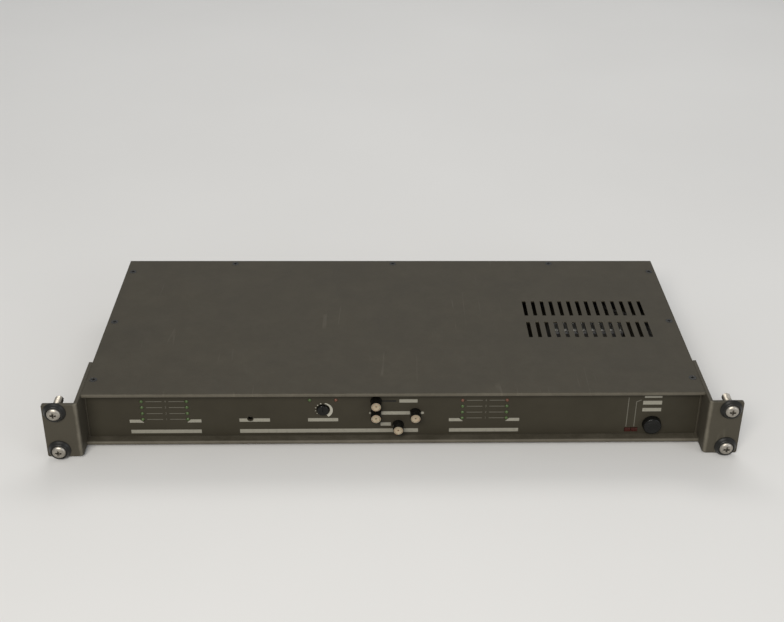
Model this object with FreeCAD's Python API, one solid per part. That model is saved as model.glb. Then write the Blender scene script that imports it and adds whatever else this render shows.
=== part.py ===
import FreeCAD, Part
import math
import os

# One-unit rack signal processor, as an assembly of its separate pieces.
#
# A folded steel tray and cover make a low case. Their front edges are hemmed into two lips, and the printed
# control panel stands back between them. Brackets on the sides carry the rack ears out in front of the
# lips, so that nothing on the panel is knocked in a road case.
#
# Frame, in millimetres: the origin is the centre of the four rack screws, on the back faces of the ears.
# +X is to the right seen from the front, +Y goes into the rack and +Z is up.

V = FreeCAD.Vector

# ------------------------------------------------------------ driving dimensions
# Rack standard
RACK_WIDTH = 482.6
UNIT_HEIGHT = 43.6
RACK_SCREW_SPACING_X = 465.1
RACK_SCREW_EDGE = 5.925  # ear's top or bottom edge to the nearer screw
SLOT_CLEARANCE = 0.4  # round a rack screw
SLOT_TRAVEL = 3.5

# Case
CASE_WIDTH = 434.0
CASE_DEPTH = 190.0
SHEET = 1.2
EAR_OVERHANG = 0.3  # of the ears above and below the case
LIP_THICK = 2.8
LIP_SETBACK = 12.0  # ear face to lip
PANEL_RECESS = 7.0  # lip to panel face
PANEL_THICK = 2.0
FLANGE = 9.0  # the tray's turned-in top edges
FLANGE_END_GAP = 4.0
REAR_TAB = 12.0
REAR_TAB_MARGIN = 5.3
REAR_TAB_SCREW_EDGE = 6.0
PANEL_FOLD_MARGINS = (6.0, 3.0)  # beyond the ear screws, and below the flanges
TRAY_BEND_RADIUS = 1.6
PLAY = 0.2  # between sheets that slip past each other

# Rack ears
EAR_THICK = 2.5
EAR_BEND_RADIUS = 3.0
EAR_CORNER_RADIUS = 1.5
EAR_WING_LENGTH = 52.0
EAR_SCREW_SETBACK = 6.5  # panel's back to the first pair
EAR_SCREW_STEP = 18.0
EAR_EDGE_ROUNDING = 0.4
EAR_SCREW_EDGE = 9.8

# Fasteners
RACK_SCREW_RADIUS = 3.0
RACK_SCREW_HEAD_OVERHANG = 1.9
RACK_SCREW_NECK = 0.3  # radial step down from the thread, through the ear
RACK_THREAD_START = -0.05  # just inside the ear's back face
RACK_SCREW_PROUD = 4.7  # ear face to the top of the head
RACK_SCREW_REACH = 14.0  # behind the ear
CUP_WASHER_SKIRT = 2.9  # beyond the screw's head
CUP_WASHER_RIM = 1.2  # width of its upper edge
CUP_WASHER_HEIGHT = 3.0
EAR_SCREW_RADIUS = 2.0
EAR_SCREW_HEAD = (3.8, 2.2)  # radius and height
EAR_SCREW_LENGTH = 8.0
NUT_ACROSS = 7.0
NUT_THICK = 3.2
SMALL_SCREW_RADIUS = 1.5
SMALL_SCREW_HEAD = (2.8, 1.8)
SMALL_SCREW_LENGTH = 5.0
SUNK_HEAD_RADIUS = 2.7
HOLE_CLEARANCE = 0.2  # radial, of a screw in a plain hole
THREAD_CLEARANCE = 0.04  # radial, of a screw in its thread
COVER_SCREW_INSET = 5.0
COVER_SCREW_SETBACK = 18.5  # lip to the first cover screw

# Boards
BOARD_THICK = 1.6
FRONT_BOARD_GAP = 10.0
FRONT_BOARD_INSETS = (25.0, 42.4)  # from the case's left and right sides
FRONT_BOARD_MARGIN = 4.6  # panel's top and bottom edges to the board's
FRONT_STANDOFF_INSETS = (30.0, 67.0)
FRONT_STANDOFF_MIDDLE_X = [-80.0, 36.0]
FRONT_STANDOFF_EDGE = 4.0
STANDOFF_ACROSS = 5.5
MAIN_BOARD_GAP = 0.9  # under the sockets
MAIN_BOARD_INSETS = (11.0, 121.0)
MAIN_BOARD_SETBACK = 16.0  # behind the front board
MAIN_BOARD_REAR_GAP = 9.5
MAIN_STANDOFF_EDGE = 6.0
MAIN_STANDOFF_REAR = 30.0

# Level meters, two columns of lamps each
LAMP_RADIUS = 1.2
LAMP_PROUD = 0.8
LAMP_FLANGE_RADIUS = 1.6
LAMP_HOLE_GAP = 0.1
LAMP_FLANGE = (1.5, 2.5)  # its front and back behind the panel
LAMP_LEAD = 0.5
LAMP_LEAD_OFFSETS = (0.9, 1.0)  # of the round and of the status lamps
LAMP_PITCH = 5.08
LAMP_ROWS = 4
METER_TOP_Z = 10.7
METER_HALF_WIDTH = 15.7
INPUT_METER_INSET = 55.0
OUTPUT_METER_X = 63.0

# Controls, from left to right
TRIM_PLACE = (-102.5, -4.2)
TRIM_HOLE_RADIUS = 1.9
TRIM_ROTOR_RADIUS = 1.7
TRIM_BODY = 7.0
TRIM_DEPTHS = (2.0, 2.5)  # rotor and body behind the panel
TRIM_SLOT = (0.6, 0.8)  # width and depth
LEVEL_PLACE = (-51.2, 3.2)
LEVEL_KNOB_RADIUS = 4.2
LEVEL_KNOB_PROUD = 2.0
LEVEL_SHAFT_RADIUS = 2.0
LEVEL_KNOB_SKIRT = 1.0  # behind the panel
LEVEL_KNOB_EDGE = 0.4
LEVEL_SLOT = 0.9
LEVEL_POT_RADIUS = 8.0
LEVEL_POT_DEPTH = 6.0
SIDE_LAMP_OFFSET = 9.2
SIDE_LAMP_Z = 11.3
BUTTON_PLACES = [(-13.8, 10.3), (-13.8, 0.1), (14.0, 0.1), (1.9, -10.1)]
BUTTON_RADIUS = 3.8
BUTTON_RIM = 0.35
BUTTON_FACE_THICK = 1.7
BUTTON_PROUD = 7.5
BUTTON_SEAT = 1.5  # of the barrel in its panel hole at rest
BUTTON_ROUNDING = 0.35
BUTTON_TRAVEL = 3.0
BUTTON_STEM = 3.0
BUTTON_SWITCH = 9.6
STATUS_LAMP_INSETS = [50.5, 45.6]
STATUS_LAMP_EDGE = 4.9  # panel's bottom edge to the lamps' middle
STATUS_LAMP_SIZE = (4.3, 3.0)
STATUS_LAMP_PROUD = 0.5
POWER_INSET, POWER_Z = 33.6, -10.3
POWER_RADIUS = 6.5
POWER_PROUD = 4.2
POWER_TRAVEL = 3.0
POWER_EDGE = 0.8
POWER_BACK = 3.5  # of the cap behind the panel
POWER_STEM = 4.0
POWER_STEM_LENGTH = 8.0
POWER_SWITCH = (16.0, 24.0)  # width and depth
CONTROL_GAP = 0.3  # round a control in its panel hole
STEM_GAP = 0.2  # round a switch stem in its body
SHAFT_CLEARANCE = 0.05  # radial, of a shaft in its pot

# Signal sockets
INPUT_SOCKET_INSETS = [32.0, 67.0]  # from the case's left side, seen from the front
OUTPUT_SOCKET_INSETS = [112.0, 147.0]
SOCKET_BORE_RADIUS = 9.6
SOCKET_WALL = 2.2
SOCKET_FLANGE_MARGINS = (1.2, 3.7)  # beside and above the body
SOCKET_FLANGE_THICK = 3.0
SOCKET_CORNER = 3.0
SOCKET_ROUNDING = 0.5
SOCKET_SCREW_INSETS = (3.4, 3.5)
SOCKET_DEPTH = 22.0  # behind the rear panel's face
SOCKET_BACK_THICK = 4.0
INSERT_GAP = 2.1
INSERT_RECESS = 1.5
CONTACT_RADIUS = 1.2
CONTACT_PLACES = [(-4.2, 2.2), (4.2, 2.2), (0.0, -4.2)]
CONTACT_TAIL = 3.0
CONTACT_POKE = 1.0  # through the main board
OUTPUT_PIN_RECESS = 2.5
LATCH = (8.0, 2.6)  # width and height
LATCH_RISE = 4.6  # its top above the bore
LATCH_LUG = (2.5, 0.8, 2.0)  # lug beyond the latch: beside, above and inside
LATCH_TRAVEL = 1.5
LATCH_PROUD = 2.0
LATCH_DEPTH = 9.0

# Power inlet, fuse and ground
INLET_INSET = 45.0  # from the case's right side, seen from the front
INLET_FLANGE = (50.0, 25.0, 2.5)
INLET_BODY = (27.0, 19.6, 24.0)
INLET_CAVITY = (24.0, 16.0, 15.5)
INLET_CORNER = 6.0
INLET_KEY = 4.0  # slanted upper corners of the cavity
INLET_SCREW_OFFSET = 20.0
INLET_BLADE = (2.0, 4.0)
INLET_BLADE_PLACES = [(-7.0, -2.0), (7.0, -2.0), (0.0, 2.0)]
INLET_BLADE_RECESS = 3.0
INLET_TAG = 6.0
FUSE_INSET = 92.0
FUSE_BODY_RADIUS = 6.2
FUSE_BODY_DEPTH = 30.0
FUSE_COLLAR = (8.0, 3.5)
FUSE_CAP_RADIUS = 6.6
FUSE_CAP_PROUD = 6.0
FUSE_PLUG = (4.6, 8.0)
FUSE_RADIUS = 2.6
FUSE_LENGTH = 20.0
FUSE_SEAT = 2.5
FUSE_END_WALL = 3.0
FUSE_CAP_EDGE = 1.0
FUSE_CAP_SLOT = (1.4, 1.2)  # width and depth
GROUND_SWITCH_INSET = 187.0  # from the left side
GROUND_SWITCH_BODY = (20.0, 10.0, 10.0)
GROUND_SLIDER = (4.0, 4.0)
GROUND_SLIDER_PROUD = 2.2
GROUND_TRAVEL = 4.0
GROUND_CHANNEL = 5.0
GROUND_POST_INSET = 132.0  # from the right side
GROUND_POST_RADIUS = 2.0
GROUND_NUT = (5.0, 4.0)
GROUND_POST_ENDS = (6.0, 4.0)  # inside the panel and outside the nut

# Power supply
TRANSFORMER_INSET = 69.0
TRANSFORMER_REAR_GAP = 91.5
CORE_WIDTH = 54.0
CORE_HEADROOM = 4.6
CORE_STACK = 25.0
CORE_LEG = 18.0
CORE_YOKE = 6.0
COIL_BULGE = 8.0
STRAP = 1.2
STRAP_FOOT = 10.0
WIRE_RADIUS = 1.1
WIRE_BEND = 9.0
WIRE_LANE_INSET = 16.0
WIRE_LANE_RISE = 4.0
WIRE_STRAIGHT = 14.0  # out of the inlet and into the switch
WIRE_SLANTS = (24.0, 20.0)  # from the inlet to the lane and from the lane to the switch
WIRE_SWITCH_OFFSETS = (4.0, 3.0)
CAPACITOR = (8.0, 24.0)  # radius and height
CAPACITOR_COUNT = 4
CAPACITOR_STEP = 20.0
CAPACITOR_INSETS = (26.0, 24.0)  # from the main board's right and front edges
CHIP = (6.4, 9.8, 3.6)
CHIP_COLUMNS, CHIP_ROWS = 5, 2
CHIP_STEPS = (25.0, 35.0)
CHIP_INSETS = (26.0, 29.0)  # from the main board's left and front edges
SINK_INSETS = (61.0, 30.0)  # from the main board's right and rear edges
SINK = (44.0, 14.0, 26.0)
SINK_BACK = 3.0
SINK_FIN = 1.5
SINK_FINS = 8
REGULATOR = (10.0, 4.5, 15.0)
REGULATOR_LIFT = 4.0
REGULATOR_LEG = (0.8, 0.6, 2.54)  # width, thickness and pitch
RIBBON_INSET = 97.0  # from the case's left side
RIBBON_WIDTH = 20.0
RIBBON_THICK = 1.0
RIBBON_BEND = 8.0
RIBBON_FRONT_Z = 6.0
RIBBON_MAIN_SETBACK = 16.0  # from the main board's front edge
HEADER = (24.0, 6.0, 6.0)

# Vents
VENT = (3.0, 22.0)  # width and length
VENT_STEP = 7.0
SIDE_VENTS = 12
TOP_VENTS = 14

# ------------------------------------------------------------ places worked out from them
ear_front = -EAR_THICK
lip_front = ear_front + LIP_SETBACK
panel_face = lip_front + PANEL_RECESS
panel_back = panel_face + PANEL_THICK
board_front = panel_back + FRONT_BOARD_GAP
board_back = board_front + BOARD_THICK
rear_face = lip_front + CASE_DEPTH
rear_inside = rear_face - SHEET
case_half = CASE_WIDTH / 2
rack_screw_spacing_z = UNIT_HEIGHT - 2 * RACK_SCREW_EDGE
slot_height = 2 * (RACK_SCREW_RADIUS + SLOT_CLEARANCE)
screw_head_radius = RACK_SCREW_RADIUS + RACK_SCREW_HEAD_OVERHANG
cup_washer_radius = screw_head_radius + CUP_WASHER_SKIRT
wall_inside = case_half - SHEET
case_top = UNIT_HEIGHT / 2 - EAR_OVERHANG
cover_under = case_top - SHEET
flange_under = cover_under - SHEET
floor_top = -cover_under
wing_outside = case_half + EAR_THICK
panel_end = wall_inside - PLAY
panel_half_height = cover_under - PLAY
flange_screw_x = case_half - COVER_SCREW_INSET
rear_flange_y = rear_face - FLANGE
rear_tab_y = rear_face - REAR_TAB
rear_tab_half = cover_under - REAR_TAB_MARGIN
ear_screw_z = UNIT_HEIGHT / 2 - EAR_SCREW_EDGE
ear_screw_y = panel_back + EAR_SCREW_SETBACK
ear_screw_places = [(ear_screw_y, z) for z in (-ear_screw_z, ear_screw_z)]
ear_nut_places = [(ear_screw_y + EAR_SCREW_STEP, z) for z in (-ear_screw_z, ear_screw_z)]
rear_tab_places = [((rear_tab_y + rear_inside) / 2, side * (rear_tab_half - REAR_TAB_SCREW_EDGE))
                   for side in (-1, 1)]
side_screw_y = [lip_front + COVER_SCREW_SETBACK, (lip_front + rear_face) / 2, rear_face - 2 * FLANGE]
rear_screw_x = [-case_half * 0.6, 0.0, case_half * 0.6]
front_board_half = panel_half_height - FRONT_BOARD_MARGIN
front_standoff_z = front_board_half - FRONT_STANDOFF_EDGE
status_lamp_z = STATUS_LAMP_EDGE - panel_half_height
button_face_radius = BUTTON_RADIUS - BUTTON_RIM
socket_body_radius = SOCKET_BORE_RADIUS + SOCKET_WALL
socket_flange = [2 * (socket_body_radius + margin) for margin in SOCKET_FLANGE_MARGINS]
socket_screw_offset = [size / 2 - inset for size, inset in zip(socket_flange, SOCKET_SCREW_INSETS)]
socket_screw_places = [(-socket_screw_offset[0], socket_screw_offset[1]),
                       (socket_screw_offset[0], -socket_screw_offset[1])]
latch_top = SOCKET_BORE_RADIUS + LATCH_RISE
deck_top = -socket_body_radius - MAIN_BOARD_GAP
deck_under = deck_top - BOARD_THICK
core_height = 2 * cover_under - CORE_HEADROOM
lamp_rows_z = [METER_TOP_Z - LAMP_PITCH * row for row in range(LAMP_ROWS)]
barrel_back = panel_face + BUTTON_SEAT
switch_front = barrel_back + BUTTON_TRAVEL + CONTROL_GAP
input_meter_x = INPUT_METER_INSET - case_half
status_lamp_x = [case_half - inset for inset in STATUS_LAMP_INSETS]
power_place = (case_half - POWER_INSET, POWER_Z)
front_board_x = (FRONT_BOARD_INSETS[0] - case_half, case_half - FRONT_BOARD_INSETS[1])
front_standoff_x = [FRONT_STANDOFF_INSETS[0] - case_half, *FRONT_STANDOFF_MIDDLE_X,
                    case_half - FRONT_STANDOFF_INSETS[1]]
main_board_x = (MAIN_BOARD_INSETS[0] - case_half, case_half - MAIN_BOARD_INSETS[1])
main_board_y = (board_back + MAIN_BOARD_SETBACK, rear_face - MAIN_BOARD_REAR_GAP)
main_standoff_x = [main_board_x[0] + MAIN_STANDOFF_EDGE, sum(main_board_x) / 2,
                   main_board_x[1] - MAIN_STANDOFF_EDGE]
main_standoff_y = [main_board_y[0] + MAIN_STANDOFF_EDGE, main_board_y[1] - MAIN_STANDOFF_REAR]
input_socket_x = [inset - case_half for inset in INPUT_SOCKET_INSETS]
output_socket_x = [inset - case_half for inset in OUTPUT_SOCKET_INSETS]
inlet_x = case_half - INLET_INSET
fuse_x = case_half - FUSE_INSET
ground_switch_x = GROUND_SWITCH_INSET - case_half
ground_post_x = case_half - GROUND_POST_INSET
transformer_at = (case_half - TRANSFORMER_INSET, rear_face - TRANSFORMER_REAR_GAP)
wire_lane_x = case_half - WIRE_LANE_INSET
sink_at = (main_board_x[1] - SINK_INSETS[0], main_board_y[1] - SINK_INSETS[1])
ribbon_x = RIBBON_INSET - case_half
ribbon_main_y = main_board_y[0] + RIBBON_MAIN_SETBACK


# ------------------------------------------------------------ building blocks
def block(x, y, z):
    """A box between two limits along each axis."""
    return Part.makeBox(x[1] - x[0], y[1] - y[0], z[1] - z[0], V(x[0], y[0], z[0]))


def about(centre, size):
    """The two limits of a length laid evenly about its centre."""
    return (centre - size / 2, centre + size / 2)


def rod_x(y, z, radius, start, end):
    return Part.makeCylinder(radius, end - start, V(start, y, z), V(1, 0, 0))


def rod_y(x, z, radius, start, end):
    return Part.makeCylinder(radius, end - start, V(x, start, z), V(0, 1, 0))


def rod_z(x, y, radius, start, end):
    return Part.makeCylinder(radius, end - start, V(x, y, start), V(0, 0, 1))


def joined(*shapes):
    """One solid made of several that touch."""
    return shapes[0].fuse(list(shapes[1:])).removeSplitter()


def less(shape, tools):
    """The shape with every tool cut away."""
    return shape.cut(list(tools)).removeSplitter()


def group(solids):
    """Like pieces that share one node and stay separate solids."""
    return Part.makeCompound(list(solids))


def mirrored(shape):
    """The same piece for the other side of the unit."""
    return shape.mirror(V(0, 0, 0), V(1, 0, 0))


def both_sides(shapes):
    shapes = list(shapes)
    return shapes + [mirrored(shape) for shape in shapes]


def turned(profile, x=0.0, z=0.0):
    """A solid of revolution about a line along Y, from (radius, y) corners."""
    corners = [V(radius, y, 0) for radius, y in profile]
    outline = Part.Face(Part.makePolygon(corners + corners[:1]))
    return outline.revolve(V(0, 0, 0), V(0, 1, 0), 360).translated(V(x, 0, z))


def hexagon(start, along, across, length):
    """A hexagonal bar, for nuts and standoffs."""
    side = V(1, 0, 0).cross(along) if along.x == 0 else V(0, 1, 0)
    corner = side * (across / math.sqrt(3))
    turns = [FreeCAD.Rotation(along, 60 * step).multVec(corner) for step in range(6)]
    corners = [start + turn for turn in turns]
    return Part.Face(Part.makePolygon(corners + corners[:1])).extrude(along * length)


def placed(shape, at, direction):
    """A screw made along +Y at the origin, moved to a point with its shank along a direction."""
    shape = shape.copy()
    shape.Placement = FreeCAD.Placement(at, FreeCAD.Rotation(V(0, 1, 0), direction))
    return shape


def cross_recess(top, reach, depth):
    """The two bars of a cross recess that opens at y = top."""
    bar = reach * 0.3
    return [
        block((-reach, reach), (top - 1, top + depth), (-bar, bar)),
        block((-bar, bar), (top - 1, top + depth), (-reach, reach)),
    ]


def pan_screw(head, radius, length):
    """A pan-head screw along +Y, with the underside of its head at y = 0."""
    wide, high = head
    profile = [(0, -high), (wide * 0.6, -high), (wide * 0.9, -high * 0.75), (wide, -high * 0.4), (wide, 0),
               (radius, 0), (radius, length), (0, length)]
    return less(turned(profile), cross_recess(-high, wide * 0.55, high * 0.55))


def sunk_screw():
    """A countersunk screw along +Y, with its head flush at y = 0 and as deep as the sheet."""
    profile = [(0, 0), (SUNK_HEAD_RADIUS, 0), (SMALL_SCREW_RADIUS, SHEET),
               (SMALL_SCREW_RADIUS, SMALL_SCREW_LENGTH), (0, SMALL_SCREW_LENGTH)]
    return less(turned(profile), cross_recess(0, SUNK_HEAD_RADIUS * 0.5, SHEET * 0.7))


def sunk_hole():
    """The cutter for a countersunk screw's hole, plain in the outer sheet and threaded in the one behind."""
    plain = SMALL_SCREW_RADIUS + HOLE_CLEARANCE
    thread = SMALL_SCREW_RADIUS + THREAD_CLEARANCE
    wide = SUNK_HEAD_RADIUS + HOLE_CLEARANCE
    end = SMALL_SCREW_LENGTH + 1
    return turned([(0, -1), (wide, -1), (wide, 0), (plain, SHEET), (thread, SHEET), (thread, end), (0, end)])


def wire_along(points, radius, bend):
    """A round wire: straight runs joined by tangent arcs of one bend radius."""
    pieces = []
    start = points[0]
    for before, corner, after in zip(points, points[1:], points[2:]):
        into = (corner - before).normalize()
        out = (after - corner).normalize()
        half_turn = into.getAngle(out) / 2
        first = corner - into * (bend * math.tan(half_turn))
        last = corner + out * (bend * math.tan(half_turn))
        middle = corner + (out - into).normalize() * (bend / math.cos(half_turn) - bend)
        pieces += [Part.LineSegment(start, first).toShape(), Part.Arc(first, middle, last).toShape()]
        start = last
    pieces.append(Part.LineSegment(start, points[-1]).toShape())
    section = Part.Wire(Part.makeCircle(radius, points[0], points[1] - points[0]))
    return Part.Wire(pieces).makePipeShell([section], True, False)


# ------------------------------------------------------------ sheet metal
def rounded(shape, radius, y):
    """The shape with every edge that lies flat at one depth rounded over."""
    flat = [e for e in shape.Edges if e.BoundBox.YLength < 1e-3 and abs(e.CenterOfMass.y - y) < 1e-3]
    return shape.makeFillet(radius, flat)


def lip(side):
    """The hemmed front edge of the tray (side -1) or the cover (side 1), with rounded front corners."""
    outer, inner = side * case_top, side * (case_top - LIP_THICK)
    bar = block((-case_half, case_half), (lip_front, panel_face), (min(outer, inner), max(outer, inner)))
    front = [edge for edge in bar.Edges
             if abs(edge.CenterOfMass.y - lip_front) < 1e-6 and edge.Length > CASE_WIDTH / 2]
    return bar.makeFillet(LIP_THICK * 0.35, front)


def side_vent_cutters():
    """Upright slots in one side wall, towards the rear."""
    width, length = VENT
    last = rear_tab_y - 2 * VENT_STEP
    return [
        block((case_half - 2 * SHEET, case_half + 1), about(last - VENT_STEP * step, width), about(0, length))
        for step in range(SIDE_VENTS)
    ]


def top_vent_cutters():
    """Slots in the cover over the transformer and the power supply."""
    width, length = VENT
    middle_x, middle_y = transformer_at
    first = middle_x - VENT_STEP * (TOP_VENTS - 1) / 2
    return [
        block(about(first + VENT_STEP * step, width), about(y, length), (cover_under - 1, case_top + 1))
        for step in range(TOP_VENTS)
        for y in (middle_y - length * 0.7, middle_y + length * 0.7)
    ]


def ear_screw_cutters(radius, places):
    return [rod_x(y, z, radius, case_half - 3 * EAR_THICK, wing_outside + 1) for y, z in places]


def cover_screw_cutters():
    """Holes for the screws that hold the cover to the tray's flanges and to the rear panel."""
    places = [(side * flange_screw_x, y) for side in (-1, 1) for y in side_screw_y]
    places += [(x, rear_face - FLANGE / 2) for x in rear_screw_x]
    return [placed(sunk_hole(), V(x, y, case_top), V(0, 0, -1)) for x, y in places]


def rear_tab_cutters():
    """Holes for the screws that hold the rear panel's tabs inside the side walls."""
    cutters = [placed(sunk_hole(), V(case_half, y, z), V(-1, 0, 0)) for y, z in rear_tab_places]
    return both_sides(cutters)


def chassis_tray():
    """Floor, front lip, side walls and their turned-in top flanges, folded from one sheet."""
    floor = block((-case_half, case_half), (panel_face, rear_face), (-case_top, floor_top))
    walls = both_sides([block((wall_inside, case_half), (panel_face, rear_face), (-case_top, cover_under))])
    first, last = panel_back + FLANGE_END_GAP, rear_tab_y - FLANGE_END_GAP
    flange = block((wall_inside - FLANGE, case_half), (first, last), (flange_under, cover_under))
    tray = joined(floor, *walls)
    bends = [e for e in tray.Edges if e.BoundBox.YMin > panel_face - 1e-6 and e.Length > CASE_DEPTH / 2
             and abs(e.CenterOfMass.z + case_top) < 1e-6 and abs(abs(e.CenterOfMass.x) - case_half) < 1e-6]
    tray = joined(tray.makeFillet(TRAY_BEND_RADIUS, bends), lip(-1), *both_sides([flange]))
    plain = ear_screw_cutters(EAR_SCREW_RADIUS + HOLE_CLEARANCE, ear_screw_places + ear_nut_places)
    holes = both_sides(plain + side_vent_cutters())
    feet = [rod_z(x, transformer_at[1], SMALL_SCREW_RADIUS + THREAD_CLEARANCE, -case_top - 1, floor_top + 1)
            for x in transformer_feet_x()]
    return less(tray, holes + cover_screw_cutters() + rear_tab_cutters() + feet)


def top_cover():
    """Flat lid with its front edge hemmed into the upper lip."""
    plate = block((-case_half, case_half), (panel_face - LIP_THICK, rear_face), (cover_under, case_top))
    return less(joined(plate, lip(1)), cover_screw_cutters() + top_vent_cutters())


def front_panel():
    """Printed control panel behind the lips, with ends folded back inside the side walls."""
    plate = block((-panel_end, panel_end), (panel_face, panel_back), (-panel_half_height, panel_half_height))
    reach = ear_screw_y + PANEL_FOLD_MARGINS[0]
    half = flange_under - PANEL_FOLD_MARGINS[1]
    folds = both_sides([block((panel_end - PANEL_THICK, panel_end), (panel_face, reach), (-half, half))])
    panel = joined(plate, *folds)
    return less(panel, panel_cutters() + both_sides(
        ear_screw_cutters(EAR_SCREW_RADIUS + THREAD_CLEARANCE, ear_screw_places)))


def panel_cutters():
    """Every hole in the printed panel, from the pieces that pass through it."""
    front, back = panel_face - 1, panel_back + 1
    lamp = LAMP_RADIUS + LAMP_HOLE_GAP
    cutters = [rod_y(x, z, lamp, front, back) for x, z in green_lamp_places() + red_lamp_places()]
    cutters += [rod_y(x, z, BUTTON_RADIUS + CONTROL_GAP, front, back) for x, z in BUTTON_PLACES]
    cutters.append(rod_y(*TRIM_PLACE, TRIM_HOLE_RADIUS, front, back))
    cutters.append(rod_y(*LEVEL_PLACE, LEVEL_KNOB_RADIUS + CONTROL_GAP, front, back))
    cutters.append(rod_y(*power_place, POWER_RADIUS + CONTROL_GAP, front, back))
    width, height = STATUS_LAMP_SIZE
    left, right = status_lamp_x[0] - width / 2 - PLAY, status_lamp_x[-1] + width / 2 + PLAY
    cutters.append(block((left, right), (front, back), about(status_lamp_z, height + 2 * PLAY)))
    return cutters


def rear_panel():
    """Back plate with a flange under the cover and a tab inside each side wall."""
    plate = block((-panel_end, panel_end), (rear_inside, rear_face), (floor_top, cover_under))
    edge = wall_inside - FLANGE - PLAY
    flange = block((-edge, edge), (rear_flange_y, rear_face), (flange_under, cover_under))
    tab = block((panel_end - SHEET, panel_end), (rear_tab_y, rear_face), (-rear_tab_half, rear_tab_half))
    panel = joined(plate, flange, *both_sides([tab]))
    return less(panel, rear_cutters() + cover_screw_cutters() + rear_tab_cutters())


def rear_cutters():
    """Every opening in the rear panel, from the connectors that pass through it."""
    front, back = rear_inside - 1, rear_face + 1
    thread = SMALL_SCREW_RADIUS + THREAD_CLEARANCE
    cutters = []
    for x in input_socket_x + output_socket_x:
        cutters.append(rod_y(x, 0, socket_body_radius + PLAY, front, back))
        cutters += [rod_y(x + dx, dz, thread, front, back) for dx, dz in socket_screw_places]
    for x in input_socket_x:
        lug = latch_lug(x, PLAY)
        cutters.append(block(lug[0], (front, back), lug[1]))
    width, height, _ = INLET_BODY
    cutters.append(block(about(inlet_x, width + 2 * PLAY), (front, back), about(0, height + 2 * PLAY)))
    cutters += [rod_y(inlet_x + side * INLET_SCREW_OFFSET, 0, thread, front, back) for side in (-1, 1)]
    cutters.append(rod_y(fuse_x, 0, FUSE_BODY_RADIUS + PLAY, front, back))
    slider_width, slider_height = GROUND_SLIDER
    slot = slider_width + GROUND_TRAVEL + 2 * CONTROL_GAP
    cutters.append(block(about(ground_switch_x, slot), (front, back),
                         about(0, slider_height + 2 * CONTROL_GAP)))
    cutters.append(rod_y(ground_post_x, 0, GROUND_POST_RADIUS + THREAD_CLEARANCE, front, back))
    return cutters


def right_rack_ear():
    """Angle bracket: the slotted ear across the front and a wing along the side of the case."""
    half = UNIT_HEIGHT / 2
    ear = block((case_half, RACK_WIDTH / 2), (ear_front, 0), (-half, half))
    wing = block((case_half, wing_outside), (ear_front, ear_front + EAR_WING_LENGTH), (-half, half))
    bracket = joined(ear, wing)

    def upright(x, y):
        return [e for e in bracket.Edges if abs(e.CenterOfMass.x - x) + abs(e.CenterOfMass.y - y) < 1e-6
                and abs(e.CenterOfMass.z) < 1e-6]

    bracket = bracket.makeFillet(EAR_BEND_RADIUS, upright(case_half, ear_front))
    corners = [e for e in bracket.Edges if e.Length < EAR_THICK + 1e-6
               and abs(e.CenterOfMass.x - RACK_WIDTH / 2) < 1e-6 and abs(abs(e.CenterOfMass.z) - half) < 1e-6]
    bracket = bracket.makeFillet(EAR_CORNER_RADIUS, corners)
    holes = ear_screw_cutters(EAR_SCREW_RADIUS + HOLE_CLEARANCE, ear_screw_places + ear_nut_places)
    return rounded(less(bracket, holes + rack_slots()), EAR_EDGE_ROUNDING, ear_front)


def rack_slots():
    """The two rack-screw slots of the right ear."""
    reach = SLOT_TRAVEL / 2
    x = RACK_SCREW_SPACING_X / 2
    slots = []
    for z in (-rack_screw_spacing_z / 2, rack_screw_spacing_z / 2):
        ends = [rod_y(x + side * reach, z, slot_height / 2, ear_front - 1, 1) for side in (-1, 1)]
        slots.append(joined(block(about(x, 2 * reach), (ear_front - 1, 1), about(z, slot_height)), *ends))
    return slots


# ------------------------------------------------------------ fasteners
def rack_screw_places():
    half_x, half_z = RACK_SCREW_SPACING_X / 2, rack_screw_spacing_z / 2
    return [(x, z) for x in (-half_x, half_x) for z in (-half_z, half_z)]


def rack_screw():
    """Raised-head rack screw with a cross recess, seated in its cup washer."""
    top = ear_front - RACK_SCREW_PROUD
    rim = ear_front - CUP_WASHER_HEIGHT + 0.5
    wide, thin = screw_head_radius, RACK_SCREW_RADIUS
    waist = thin - RACK_SCREW_NECK
    profile = [(0, top), (wide * 0.45, top + 0.2), (wide * 0.8, top + 0.9), (wide, rim - 0.5), (wide, rim),
               (waist, rim + wide - waist), (waist, RACK_THREAD_START - RACK_SCREW_NECK),
               (thin, RACK_THREAD_START), (thin, RACK_SCREW_REACH - 0.8), (thin - 0.8, RACK_SCREW_REACH),
               (0, RACK_SCREW_REACH)]
    return less(turned(profile), cross_recess(top, wide * 0.5, 2.4))


def cup_washer():
    """Dished finishing washer that stands on the ear round the screw's head."""
    rim = ear_front - CUP_WASHER_HEIGHT + 0.5
    gap = THREAD_CLEARANCE
    bore = RACK_SCREW_RADIUS + HOLE_CLEARANCE
    seat = screw_head_radius + gap
    edge = seat + CUP_WASHER_RIM
    drop = cup_washer_radius - edge
    profile = [(bore, ear_front), (bore, rim + seat - bore), (seat, rim), (seat + 0.2, rim - 0.5),
               (edge - 0.3, rim - 0.5), (edge, rim - 0.2), (edge + drop * 0.35, rim + 0.7),
               (edge + drop * 0.8, ear_front - 0.9), (cup_washer_radius, ear_front - 0.4),
               (cup_washer_radius, ear_front)]
    return turned(profile)


def rack_screws():
    return group(rack_screw().translated(V(x, 0, z)) for x, z in rack_screw_places())


def cup_washers():
    return group(cup_washer().translated(V(x, 0, z)) for x, z in rack_screw_places())


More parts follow.
